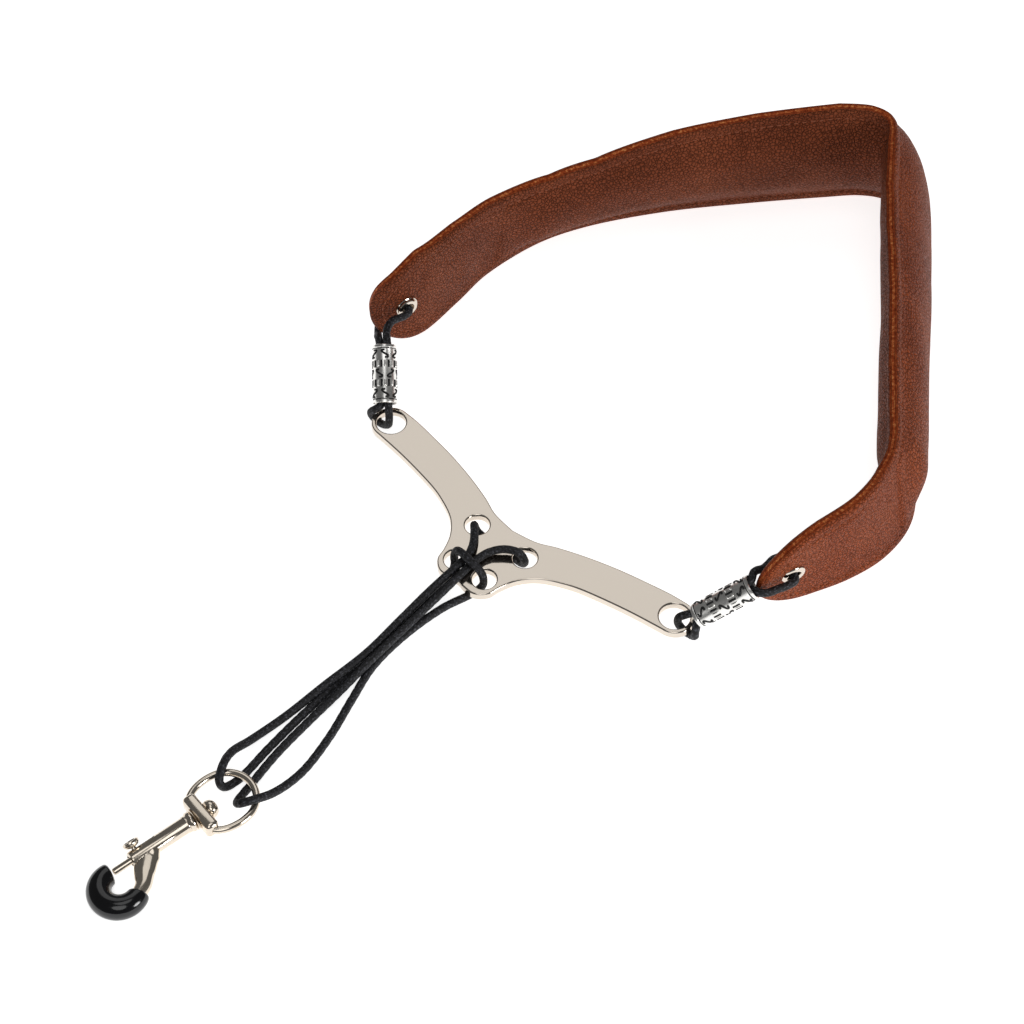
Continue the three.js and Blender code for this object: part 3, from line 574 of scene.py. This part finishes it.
def make_cord(name, points, node):
    """A braided cord whose yarns cross and stand out of its surface. Also its path and length."""
    path, places = even(catmull(points, 24), CORD_STEP)

    def radii(i, angles):
        turn = 2 * math.pi * places[i] / BRAID_PITCH
        weave = np.maximum(np.sin(BRAID_WAVES * angles + turn), np.sin(BRAID_WAVES * angles - turn))
        return CORD / 2 * (1 + BRAID_DEPTH * (weave - BRAID_MEAN))

    vertices, faces = swept(path, radii, CORD_SIDES)
    piece = add_piece(name, vertices, faces, [BRAID], None)
    layer = piece.data.uv_layers.new(name="length")
    vertex = np.zeros(len(piece.data.loops), int)
    piece.data.loops.foreach_get("vertex_index", vertex)
    around = (vertex % CORD_SIDES) / CORD_SIDES
    along = places[vertex // CORD_SIDES]
    layer.data.foreach_set("uv", np.stack([around, along], axis=1).ravel())
    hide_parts(node)
    return piece, path, float(places[-1])


def make_cords():
    for label, points in LOOPS.items():
        piece, path, length = make_cord(f"cord_loop_{label}", points, f"loop_cord_{label}")
        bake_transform(piece)
    piece, path, length = make_cord("cord_main", MAIN_CORD, "main_cord")
    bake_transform(piece)


make_cords()

# ---------------------------------------------------------------- neck band

CURVE = catmull([(x, y, 0) for x, y, _ in BAND_PATH], 200)
CURVE_PLACE = np.linspace(0, len(BAND_PATH) - 1, len(CURVE))
CURVE_LENGTH = np.r_[0, np.cumsum(np.linalg.norm(np.diff(CURVE, axis=0), axis=1))]
HALF = CURVE_LENGTH[-1] / 2
PAD_HALF = HALF - PAD_END_MARGIN
TIP_RADIUS = TIP_WIDTH / 2
LEANS = np.radians([lean for _, _, lean in BAND_PATH])
# Distances from the band's edge, close together at the seam, and the rest of the lines across it.
EDGE_LINES = np.array([0, 0.35, 0.9, 1.8, 2.8, 3.5, 3.95, 4.3, 4.6, 4.95, 5.4, 6.1, 7, 8.3, 10])
INNER_LINES = 11
STATION_STEP = 1.25
PAD_RAMP = 16
EDGE_ROLL, EDGE_ROLL_REACH = 0.95, 1.9
GROOVE, GROOVE_REACH = 0.3, 0.55
CREASE, CREASE_REACH = 0.35, 1.4
WAVE, WAVE_SIZE = 0.45, (26, 15)
PUCKER, PUCKER_SIZE, PUCKER_REACH = 0.16, (5.2, 20), 2.2
LEATHER_GAP = 0.12
HOLE_RADIUS = 3.1


def smooth_step(value):
    x = np.clip(value, 0, 1)
    return x * x * (3 - 2 * x)


def curve_at(s):
    place = np.clip(np.asarray(s, float) + HALF, 0, CURVE_LENGTH[-1])
    return np.stack([np.interp(place, CURVE_LENGTH, CURVE[:, k]) for k in range(3)], axis=-1)


def band_width(s):
    return TIP_WIDTH + (MIDDLE_WIDTH - TIP_WIDTH) * np.cos(math.pi / 2 * s / HALF) ** 2


def band_frames(s):
    """Foot, up and out at places s along the band."""
    s = np.asarray(s, float)
    reach = np.maximum(0.5, BACK_REACH * (1 - np.abs(s) / BACK_REACH_LENGTH))
    along = curve_at(s + reach) - curve_at(s - reach)
    along /= np.linalg.norm(along, axis=-1, keepdims=True)
    place = np.interp(np.clip(s + HALF, 0, CURVE_LENGTH[-1]), CURVE_LENGTH, CURVE_PLACE)
    lean = np.interp(place, np.arange(len(LEANS)), LEANS)
    side = np.stack([-along[..., 1], along[..., 0], np.zeros_like(s)], axis=-1)
    z = np.zeros_like(side)
    z[..., 2] = 1
    up = z * np.cos(lean)[..., None] - side * np.sin(lean)[..., None]
    out = z * np.sin(lean)[..., None] + side * np.cos(lean)[..., None]
    foot = curve_at(s)
    rise = TIP_RISE * smooth_step(1 - (HALF - np.abs(s)) / TIP_RISE_LENGTH)
    foot[..., 2] += rise + RIM_HALF * np.sin(lean)
    return foot, up, out


def edge_distance(s, h):
    """How far the place (s, h) is from the band's outline."""
    width = band_width(s)
    beyond = np.abs(s) - (HALF - TIP_RADIUS)
    straight = np.minimum(h, width - h)
    tip = TIP_RADIUS - np.hypot(np.maximum(beyond, 0), h - width / 2)
    return np.where(beyond > 0, np.minimum(tip, straight), straight)


def hummocks(s, h, size, layer):
    """Smooth noise between -1 and 1 over the band, with bumps of the given length and width."""
    length, width = size
    return np.vectorize(lambda a, b: noise.noise(Vector((a / length, b / width, layer))))(s, h)


def surface_height(s, h, side):
    """How far the leather's face stands out from the middle of the band."""
    width = band_width(s)
    v = np.abs(h - width / 2) / (width / 2 - PAD_MARGIN)
    end = smooth_step((PAD_HALF - np.abs(s)) / PAD_RAMP)
    inside = PAD_RIM + (PAD - PAD_RIM) * (1 - np.clip(v, 0, 1) ** PAD_CROWN) * end + GAP
    shoulder = smooth_step((edge_distance(s, h) - SEAM) / (PAD_MARGIN - SEAM))
    swell = inside * shoulder * smooth_step((PAD_HALF + 3 - np.abs(s)) / 3)
    edge = edge_distance(s, h)
    groove = GROOVE * np.exp(-((edge - SEAM) / GROOVE_REACH) ** 2)
    roll = EDGE_ROLL * np.clip(1 - edge / EDGE_ROLL_REACH, 0, 1) ** 2
    crease = CREASE * np.exp(-((np.abs(s) - PAD_HALF - 1.5) / CREASE_REACH) ** 2) * shoulder
    wave = hummocks(s, h, WAVE_SIZE, 7.3 * side)
    pucker = hummocks(s, h, PUCKER_SIZE, 3.1 * side)
    soft = WAVE * wave * shoulder + PUCKER * pucker * np.exp(-((edge - SEAM - 2.2) / PUCKER_REACH) ** 2)
    return RIM_HALF + swell - groove - roll - crease + soft * smooth_step((edge - 1) / 3)


def band_stations():
    """Places along the band, and how much the tips' roundness narrows the grid there."""
    flat = HALF - TIP_RADIUS
    middle = np.linspace(-flat, flat, int(2 * flat / STATION_STEP) + 1)
    angles = np.radians(np.linspace(3, 88, 30))
    tip = flat + TIP_RADIUS * np.sin(angles)
    s = np.r_[-tip[::-1], middle, tip]
    shrink = np.r_[np.cos(angles)[::-1], np.ones(len(middle)), np.cos(angles)]
    return s, shrink


def band_grid():
    """The band's grid, as places along it and heights up it."""
    s, shrink = band_stations()
    rows = []
    for w, k in zip(band_width(s), shrink):
        inner = np.linspace(EDGE_LINES[-1], w - EDGE_LINES[-1], INNER_LINES + 2)[1:-1]
        across = np.r_[EDGE_LINES, inner, w - EDGE_LINES[::-1]]
        rows.append(w / 2 + (across - w / 2) * k)
    h = np.array(rows)
    return np.repeat(s[:, None], h.shape[1], axis=1), h


GRID_S, GRID_H = band_grid()
FOOT, UP, OUT = band_frames(GRID_S)


def sheet_piece(name, near, far, face, rim, node_names):
    """A closed sheet between two heights off the band's middle, near and far. face and rim are materials."""
    rows, columns = GRID_H.shape
    low = FOOT + UP * GRID_H[..., None] + OUT * near[..., None]
    high = FOOT + UP * GRID_H[..., None] + OUT * far[..., None]
    vertices = np.concatenate([low.reshape(-1, 3), high.reshape(-1, 3)])
    index = np.arange(rows * columns).reshape(rows, columns)
    top = index + rows * columns
    faces, rims = [], []
    for i in range(rows - 1):
        for j in range(columns - 1):
            faces.append((index[i, j], index[i + 1, j], index[i + 1, j + 1], index[i, j + 1]))
            faces.append((top[i, j], top[i, j + 1], top[i + 1, j + 1], top[i + 1, j]))
        faces.append((index[i, 0], top[i, 0], top[i + 1, 0], index[i + 1, 0]))
        faces.append((index[i, -1], index[i + 1, -1], top[i + 1, -1], top[i, -1]))
        rims += [0] * (2 * (columns - 1)) + [1, 1]
    for j in range(columns - 1):
        faces.append((index[0, j], index[0, j + 1], top[0, j + 1], top[0, j]))
        faces.append((index[-1, j], top[-1, j], top[-1, j + 1], index[-1, j + 1]))
        rims += [1, 1]
    faces = [tuple(int(k) for k in f) for f in faces]
    piece = add_piece(name, vertices, faces, [face, rim], "neck_band", face_materials=rims)
    outward(piece)
    for side in (-1, 1):
        cut_eyelet_hole(piece, side)
    sharpen(piece, 50)
    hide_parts(*node_names)
    return piece


def eyelet_axis(side):
    s = np.array(side * (HALF - EYELET_TO_TIP))
    foot, up, out = band_frames(s)
    return foot + up * (band_width(s) / 2), out


def cut_eyelet_hole(piece, side):
    point, out = eyelet_axis(side)
    punch = lathe([(0, -9), (HOLE_RADIUS, -9), (HOLE_RADIUS, 9), (0, 9)], 40)
    cut(piece, moved(punch, onto(point, out)))


STITCH_PITCH = 3.1
STITCH_SPAN = (0.25, 2.5)
STITCH_POINTS = 5
STITCH_RISE = 0.12
STITCH_DIP = 0.32
THREAD_RADIUS, THREAD_END_RADIUS = 0.28, 0.12


def seam_line():
    """The seam round the band, as places along it and heights up it."""
    flat = HALF - TIP_RADIUS
    reach = TIP_RADIUS - SEAM
    steps = np.linspace(-flat, flat, 700)
    line = [(s, SEAM) for s in steps]
    for angle in np.radians(np.linspace(-90, 90, 90)):
        line.append((flat + reach * math.cos(angle), TIP_WIDTH / 2 + reach * math.sin(angle)))
    line += [(s, float(band_width(s)) - SEAM) for s in steps[::-1]]
    for angle in np.radians(np.linspace(90, 270, 90)):
        line.append((-flat + reach * math.cos(angle), TIP_WIDTH / 2 + reach * math.sin(angle)))
    return np.array(line)


def thread_radius(i, angles):
    return np.full(len(angles), THREAD_RADIUS if 0 < i < STITCH_POINTS - 1 else THREAD_END_RADIUS)


def make_stitches(name, side):
    """A row of stitches along the seam, on one face of the band."""
    seam = seam_line()
    lengths = np.r_[0, np.cumsum(np.hypot(*np.diff(seam, axis=0).T))]
    count = int(lengths[-1] / STITCH_PITCH)
    parts = []
    for start in np.arange(count) * lengths[-1] / count:
        places = start + np.linspace(*STITCH_SPAN, STITCH_POINTS)
        s = np.interp(places, lengths, seam[:, 0])
        h = np.interp(places, lengths, seam[:, 1])
        foot, up, out = band_frames(s)
        dip = STITCH_DIP * np.abs(np.linspace(-1, 1, STITCH_POINTS)) ** 2
        height = side * (surface_height(s, h, side) + STITCH_RISE - dip)
        line = foot + up * h[:, None] + out * height[:, None]
        parts.append(swept(line, thread_radius, 6))
    vertices, faces = merge(parts)
    add_piece(name, vertices, faces, [THREAD], "neck_band")


def make_band():
    flat = np.full(GRID_S.shape, CORE / 2 + LEATHER_GAP)
    outer = sheet_piece(
        "band_outer_half", flat, surface_height(GRID_S, GRID_H, 1), LEATHER_OUT, EDGE_PAINT,
        ["band_outer_leather", "band_outer_pad"],
    )
    inner = sheet_piece(
        "band_lining_half", -surface_height(GRID_S, GRID_H, -1), -flat, LEATHER_IN, EDGE_PAINT,
        ["band_lining", "band_inner_pad"],
    )
    core_height = np.full(GRID_S.shape, CORE / 2)
    sheet_piece("band_edge_core", -core_height, core_height, CORE_PAINT, CORE_PAINT, ["band_core"])
    make_stitches("stitches_outer", 1)
    make_stitches("stitches_lining", -1)


make_band()


def turned_piece(name, part, material, body, node):
    vertices, faces = part
    piece = sharpen(outward(add_piece(name, vertices, faces, [material], body)))
    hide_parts(node)


def make_eyelets():
    face = RIM_HALF + GAP / 2
    flange = [
        (2.3, -3.9), (3.4, -3.9), (3.7, -3.6), (3.7, -3.3), (2.9, -3.2), (2.9, face), (4.1, face),
        (4.1, face + 0.15), (3.8, face + 0.5), (3.2, face + 0.75), (2.6, face + 0.7), (2.35, face + 0.35),
        (2.3, face),
    ]
    washer = [(3.2, -3.05), (3.8, -3.05), (4.1, -2.8), (4.1, -face), (3.2, -face)]
    for side, label in ((-1, "left"), (1, "right")):
        place = onto(*eyelet_axis(side))
        rows = [("eyelet", flange, f"eyelet_{label}"), ("washer", washer, f"eyelet_{label}_washer")]
        for name, profile, node in rows:
            part = moved(lathe(profile), place)
            turned_piece(f"{name}_{label}_turned", part, NICKEL, "neck_band", node)


make_eyelets()

# ---------------------------------------------------------------- yoke plate

YOKE_UPPER = [(9, -13.9), (16, -10.9), (26, -7.5), (37, -4.6), (48, -2.5), (56, -1.2)]
YOKE_LOWER = [
    (49, -16.1), (34, -19.1), (26, -21.8), (19.3, -25.4), (14.8, -30.4), (12.4, -36), (11.2, -40.5),
    (7.6, -43.6), (3, -43.6),
]
YOKE_HOLES = [(62.5, -7.5, 5.05), (10.5, -21.5, 4.1), (6.2, -36.8, 4.0)]
YOKE_WAIST = (0, -15.4)
YOKE_TOE = (0, -43)
YOKE_HALF_THICKNESS = 1.5
YOKE_BEVEL = 0.55
YOKE_ARC_STEPS = 33
YOKE_HOLE_STEPS = 49


def spline_through(points, per_span=8):
    """The uniform Catmull-Rom spline that the plate's outline is drawn with."""
    p = np.array(points, float)
    result = []
    for i in range(len(p) - 1):
        before, after = p[max(i - 1, 0)], p[min(i + 2, len(p) - 1)]
        start, end = (p[i + 1] - before) / 2, (after - p[i]) / 2
        for k in range(per_span):
            t = k / per_span
            cubic = 2 * p[i] - 2 * p[i + 1] + start + end
            square = -3 * p[i] + 3 * p[i + 1] - 2 * start - end
            result.append(p[i] + start * t + square * t * t + cubic * t ** 3)
    return result


def mirrored(points):
    return [(-x, y) for x, y in reversed(points)]


def yoke_outline():
    x, y, r = YOKE_END
    round_end = np.linspace(0, math.pi, YOKE_ARC_STEPS)[:-1]
    outline = spline_through([YOKE_WAIST, *YOKE_UPPER, (x, y + r)])
    outline += [np.array((x + r * math.sin(a), y + r * math.cos(a))) for a in round_end]
    outline += spline_through([(x, y - r), *YOKE_LOWER, YOKE_TOE, *mirrored(YOKE_LOWER), (-x, y - r)])
    outline += [np.array((-x - r * math.sin(a), y - r * math.cos(a))) for a in round_end]
    outline += spline_through([(-x, y + r), *mirrored(YOKE_UPPER), YOKE_WAIST])
    return outline


def add_loop(curve, points):
    spline = curve.splines.new("POLY")
    spline.points.add(len(points) - 1)
    for point, (x, y) in zip(spline.points, points):
        point.co = (x * MM, y * MM, 0, 1)
    spline.use_cyclic_u = True


def yoke_curve():
    """The plate's outline and holes, with its thickness and rounded edges."""
    curve = bpy.data.curves.new("yoke_outline", "CURVE")
    curve.dimensions = "2D"
    curve.fill_mode = "BOTH"
    curve.extrude = (YOKE_HALF_THICKNESS - YOKE_BEVEL) * MM
    curve.bevel_depth = YOKE_BEVEL * MM
    curve.offset = -YOKE_BEVEL * MM
    curve.bevel_resolution = 3
    add_loop(curve, yoke_outline())
    turns = np.linspace(0, 2 * math.pi, YOKE_HOLE_STEPS)[:-1]
    for x, y, r in YOKE_HOLES:
        for side in (-1, 1):
            add_loop(curve, [(side * x + r * math.cos(a), y + r * math.sin(a)) for a in turns])
    return curve


def weld(piece):
    """Joins the vertices that lie together, and makes every face point outwards."""
    mesh = bmesh.new()
    mesh.from_mesh(piece.data)
    bmesh.ops.remove_doubles(mesh, verts=mesh.verts, dist=1e-6)
    bmesh.ops.recalc_face_normals(mesh, faces=mesh.faces)
    mesh.to_mesh(piece.data)
    mesh.free()


def make_yoke():
    helper = bpy.data.objects.new("yoke_outline", yoke_curve())
    scene.collection.objects.link(helper)
    mesh = bpy.data.meshes.new_from_object(helper.evaluated_get(bpy.context.evaluated_depsgraph_get()))
    bpy.data.objects.remove(helper)
    mesh.transform(Matrix.Translation((0, 0, YOKE_MIDDLE * MM)))
    mesh.materials.clear()
    mesh.materials.append(NICKEL)
    piece = bpy.data.objects.new("yoke_polished", mesh)
    scene.collection.objects.link(piece)
    weld(piece)
    mesh.polygons.foreach_set("use_smooth", [abs(face.normal.z) < 0.99 for face in mesh.polygons])
    sharpen(piece, 50)
    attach(piece, "yoke")
    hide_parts("yoke_plate")


make_yoke()

# ---------------------------------------------------------------- beads

# The decoration is set at the radius BEAD_FACE. Its insets are from the bead's ends.
BEAD_FACE = 3.98
BEAD_SCROLLS = 6
SCROLL_SIZE, SCROLL_RADIUS = 1.8, 0.4
BEAD_BARS = 10
BAR_HALF, SLOT_HALF, SLOT_RADIUS = 1.15, 1.25, 0.42
LINE_INSET, LINE_RADIUS = 1.35, 0.2
SCROLL_INSET = 3.3


def on_bead(angle, y, radius):
    return (radius * math.sin(angle), y, radius * math.cos(angle))


def bead_scroll(angle, y, flip):
    """An S-shaped scroll with curled ends, let into the bead's side."""
    points = []
    for k in range(33):
        t = -1 + k / 16
        bend = flip * 0.62 * SCROLL_SIZE * math.sin(t * math.pi) * (1.25 - 0.5 * abs(t))
        rise = SCROLL_SIZE * math.sin(t * 1.9) * 0.72
        points.append(on_bead(angle + bend / BEAD_FACE, y + rise, BEAD_FACE))
    return tube(np.array(points), SCROLL_RADIUS, 8)


def bead_slot(angle, y, half):
    line = np.array([on_bead(angle, y + half * k / 2, BEAD_FACE - 0.05) for k in range(-2, 3)])
    return tube(line, SLOT_RADIUS, 8)


def bead_profile(length):
    """The bead's section: a thin shell with a raised rim at each end."""
    return [
        (3.95, 0), (4.15, 0.12), (4.2, 0.4), (4.2, 0.95), (4.08, 1.1), (4.05, 1.2), (4.05, length - 1.2),
        (4.08, length - 1.1), (4.2, length - 0.95), (4.2, length - 0.4), (4.15, length - 0.12),
        (3.95, length), (3.55, length - 0.2), (3.4, length - 1.4), (3.4, 1.4), (3.55, 0.2),
    ]


def bead_decoration(length):
    """The dark inlay, of scrolls, slots and end lines, and the bright bars between the slots."""
    inlay, bars = [], []
    for row, y in enumerate((SCROLL_INSET, length / 2, length - SCROLL_INSET)):
        for k in range(BEAD_SCROLLS):
            angle = 2 * math.pi * (k + 0.5 * (row % 2)) / BEAD_SCROLLS + 0.3
            inlay.append(bead_scroll(angle, y, 1 if (row + k) % 2 else -1))
    for y in (length * 0.335, length * 0.665):
        for k in range(BEAD_BARS):
            angle = 2 * math.pi * k / BEAD_BARS
            inlay.append(bead_slot(angle, y, SLOT_HALF))
            bars.append(bead_slot(angle + math.pi / BEAD_BARS, y, BAR_HALF))
    for y in (LINE_INSET, length - LINE_INSET):
        line = np.array([on_bead(2 * math.pi * i / 64, y, BEAD_FACE) for i in range(65)])
        inlay.append(tube(line, LINE_RADIUS, 8))
    return inlay, bars


def make_beads():
    for label, (bottom, top) in BEADS.items():
        axis = Vector(top) - Vector(bottom)
        place = onto(bottom, axis.normalized())
        body = f"bead_{label}_body"
        shell = moved(lathe(bead_profile(axis.length), 64), place)
        turned_piece(f"bead_{label}_turned", shell, SILVER, body, f"bead_{label}")
        inlay, bars = bead_decoration(axis.length)
        for name, parts, material in (("scrolls", inlay, DARK_RECESS), ("bars", bars, SILVER)):
            vertices, faces = moved(merge(parts), place)
            outward(add_piece(f"bead_{label}_{name}", vertices, faces, [material], body))


make_beads()

# ---------------------------------------------------------------- swivel hook

HOOK = Matrix.Translation(Vector(HOOK_PLACE)) @ Matrix.Rotation(HOOK_YAW, 4, "Z")
BAR_LENGTH, BAR_WIDTH, BAR_HEIGHT = 14.6, 4.6, 6.0
BAR_ROUNDING = 1.5
# The ring's half width and top are to the middle of its wire, and RING_WIRE is the wire's radius.
RING_HALF_WIDTH, RING_TOP, RING_WIRE = 9.7, 18.7, 1.2
BARREL_TOP, BARREL_END = -3.4, -25.7
BARREL_CROWN = 4.6
BOLT_BORE, RIVET_BORE = 1.7, 1.6
KNOB_PLACE = -22.8
KNOB_TILT = math.radians(35)
KNOB_STALK, BOLT_TRAVEL = 0.8, 6
BOLT_SHOULDER = 2.2
BOW_X, BOW_Y, BOW_RADIUS = 6, -33.6, 6.2
BOW_WIRE = 2.1
# The spine's centre line from the barrel to the bow, and its half width along the whole of it and the bow.
SPINE = [(0.4, -17.5, 0), (2.6, -21.3, 0), (6, -24.6, 0), (9.3, -27.2, 0)]
SPINE_PLACES = (0, 0.08, 0.2, 0.3, 0.45, 1)
SPINE_RADII = (2.4, 3.7, 3.5, 2.8, BOW_WIRE, BOW_WIRE)
SLEEVE_BORE = 2.25
SLEEVE_SIDES = 36
SPRING_WIRE = 0.5
SPRING_RADIUS = 1.3
SPRING_TURNS = 9


def hook_piece(name, part, material, body, node, angle=35):
    vertices, faces = moved(part, HOOK)
    piece = sharpen(outward(add_piece(name, vertices, faces, [material], body)), angle)
    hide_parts(node)
    return piece


def rounded_box(size, radius):
    """A box with rounded edges, centred on its frame's origin."""
    mesh = bmesh.new()
    bmesh.ops.create_cube(mesh, size=1)
    bmesh.ops.scale(mesh, vec=size, verts=mesh.verts)
    bmesh.ops.bevel(mesh, geom=mesh.edges[:], offset=radius, segments=4, profile=0.5, affect="EDGES")
    vertices = [tuple(v.co) for v in mesh.verts]
    faces = [tuple(v.index for v in f.verts) for f in mesh.faces]
    mesh.free()
    return vertices, faces


def plug(radius, low, high):
    """A plain cylinder between two heights, to cut a hole with."""
    return lathe([(0, low), (radius, low), (radius, high), (0, high)], 32)


def bow_arc(start, end, steps):
    """Points round the bow, between angles in degrees."""
    angles = np.radians(np.linspace(start, end, steps))
    x = BOW_X + BOW_RADIUS * np.cos(angles)
    y = BOW_Y + BOW_RADIUS * np.sin(angles)
    return np.stack([x, y, 0 * angles], axis=1)


def make_ring():
    """The D-shaped ring and its cross bar."""
    half, r = BAR_LENGTH / 2 - 0.6, RING_HALF_WIDTH
    arc = RING_TOP - r
    shoulder = [(half, 0, 0), (half + 1.2, 1.4, 0), (r - 0.7, 3.7, 0), (r - 0.12, arc - 2.7, 0)]
    points = [(-x, y, z) for x, y, z in shoulder]
    points += [(r * math.cos(a), arc + r * math.sin(a), 0) for a in np.linspace(math.pi, 0, 9)]
    points += shoulder[::-1]
    path, _ = even(catmull(points, 16), 0.5)
    bar = rounded_box((BAR_LENGTH, BAR_WIDTH, BAR_HEIGHT), BAR_ROUNDING)
    piece = hook_piece("ring_cast", tube(path, RING_WIRE, 28), HOOK_NICKEL, "ring", "swivel_ring")
    join_solids(piece, moved(bar, HOOK))
    cut(piece, moved(plug(RIVET_BORE, -4, 4), HOOK))
    sharpen(piece)


def hook_bow():
    """The spine, flattened into a web where it leaves the barrel, and the round bow."""
    path, _ = even(catmull(SPINE + [tuple(p) for p in bow_arc(40, -187, 15)], 8), 0.6)
    radii = np.interp(np.linspace(0, 1, len(path)), SPINE_PLACES, SPINE_RADII)
    web = np.clip((radii - BOW_WIRE) / 1.6, 0, 1)
    return swept(
        path, lambda i, angles: np.full(len(angles), radii[i]), 28, stretch=lambda i: 1 - 0.5 * web[i]
    )


def make_hook_body():
    """The barrel, spine and bow, bored for the bolt and the rivet and slotted for the knob."""
    low, high = BARREL_END, BARREL_TOP
    barrel = lathe([
        (0, low), (2.2, low), (2.6, low + 0.3), (2.7, low + 0.8), (2.7, high - 2.6), (2.9, high - 2.2),
        (2.9, high - 1.9), (2.75, high - 1.6), (3.3, high - 0.9), (3.4, high - 0.5), (3.3, high - 0.1),
        (3.0, high), (0, high),
    ])
    piece = hook_piece("hook_cast", barrel, HOOK_NICKEL, "hook", "hook_body")
    join_solids(piece, moved(hook_bow(), HOOK))
    bore = plug(BOLT_BORE, low - 1, high - BARREL_CROWN)
    seat = plug(RIVET_BORE, high - 5, high + 1)
    slot_length = 2 * KNOB_STALK + BOLT_TRAVEL + 2 * GAP
    slot = rounded_box((6, slot_length, 2.2), 0.5)
    tilt = Matrix.Rotation(KNOB_TILT, 4, "Y")
    shift = Matrix.Translation((-3, KNOB_PLACE + slot_length / 2 - KNOB_STALK - GAP, 0))
    cut(piece, moved(bore, HOOK), moved(seat, HOOK), moved(slot, HOOK @ tilt @ shift))
    sharpen(piece)


def make_rivet():
    under = BAR_WIDTH / 2 + GAP
    rivet = lathe([
        (0, BARREL_TOP - 4), (1.3, BARREL_TOP - 4), (1.3, under), (2.8, under), (3.0, under + 0.3),
        (3.0, under + 1.2), (2.8, under + 1.9), (2.2, under + 2.6), (1.2, under + 3.1), (0, under + 3.2),
    ])
    hook_piece("rivet_turned", rivet, HOOK_NICKEL, "hook", "swivel_rivet")


def make_collar():
    top, bottom = -BAR_WIDTH / 2 - GAP, BARREL_TOP + GAP
    middle = (top + bottom) / 2
    collar = lathe([
        (RIVET_BORE, bottom), (3.4, bottom), (3.7, bottom + 0.2), (3.8, middle), (3.7, top - 0.2), (3.4, top),
        (RIVET_BORE, top),
    ])
    hook_piece("collar_turned", collar, HOOK_NICKEL, "hook", "swivel_collar")


def make_bolt():
    """The sliding bolt and its thumb knob."""
    low, high = KNOB_PLACE - BOLT_SHOULDER, KNOB_PLACE + BOLT_SHOULDER
    bolt = lathe([
        (0, -31.9), (0.7, -31.9), (1.0, -31.75), (1.15, -31.4), (1.15, low), (1.4, KNOB_PLACE - 1.8),
        (1.4, high), (0, high),
    ])
    hook_piece("bolt_turned", bolt, HOOK_NICKEL, "bolt", "bolt_plunger")
    knob = lathe([
        (0, 1.5), (KNOB_STALK, 1.5), (KNOB_STALK, 3.1), (1.4, 3.2), (2.1, 3.5), (2.6, 4.1), (2.7, 4.8),
        (2.6, 5.15), (2.35, 5.2), (2.1, 4.9), (1.5, 4.4), (0, 4.15),
    ])
    tilt = Matrix.Rotation(KNOB_TILT, 4, "Y")
    sideways = Matrix.Rotation(math.pi / 2, 4, "Z")
    turn = tilt @ Matrix.Translation((0, KNOB_PLACE, 0)) @ sideways
    hook_piece("knob_turned", moved(knob, turn), HOOK_NICKEL, "bolt", "thumb_knob")


def make_sleeve():
    """The rubber sleeve, fattest in the middle and rounded at its ends, with the bow's bore through it."""
    path, _ = even(bow_arc(38, -189, 120), 0.4)
    share = np.linspace(0, 1, len(path))
    fat = 3.3 + 0.7 * np.clip(np.sin(math.pi * share), 0, 1) ** 0.6
    end = np.clip(1 - np.minimum(share, 1 - share) / 0.035, 0, 1)
    rounding = np.sqrt(np.clip(1 - end ** 2, 0, 1))
    outer = fat * (0.8 + 0.2 * rounding)
    across, over = sweep_frames(path)
    angles = np.linspace(0, 2 * math.pi, SLEEVE_SIDES, endpoint=False)
    rings = [(i, outer[i]) for i in range(len(path))] + [(i, SLEEVE_BORE) for i in reversed(range(len(path)))]
    vertices, faces = [], []
    for i, radius in rings:
        ring = np.outer(radius * np.cos(angles), across[i]) + np.outer(radius * np.sin(angles), over[i])
        vertices.extend(path[i] + ring)
    for i in range(len(rings)):
        start, after = i * SLEEVE_SIDES, (i + 1) % len(rings) * SLEEVE_SIDES
        for j in range(SLEEVE_SIDES):
            k = (j + 1) % SLEEVE_SIDES
            faces.append((start + j, start + k, after + k, after + j))
    hook_piece("sleeve_moulded", (vertices, faces), RUBBER, "hook", "hook_sleeve", angle=60)


def make_spring():
    """The coil behind the bolt, made at its resting length; the real coil closes up as the bolt is drawn back.
    """
    low = KNOB_PLACE + BOLT_SHOULDER + GAP + SPRING_WIRE / 2
    high = BARREL_TOP - BARREL_CROWN - GAP - SPRING_WIRE / 2
    turns = np.linspace(0, SPRING_TURNS, SPRING_TURNS * 16 + 1)
    angles = 2 * math.pi * turns
    heights = low + (high - low) * turns / SPRING_TURNS
    path = np.stack([SPRING_RADIUS * np.cos(angles), heights, SPRING_RADIUS * np.sin(angles)], axis=1)
    vertices, faces = moved(tube(path, SPRING_WIRE / 2, 8), HOOK)
    piece = outward(add_piece("bolt_spring_coiled", vertices, faces, [STEEL], None))
    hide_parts("bolt_spring")
    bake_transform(piece)


make_ring()
make_hook_body()
make_rivet()
make_collar()
make_bolt()
make_sleeve()
make_spring()
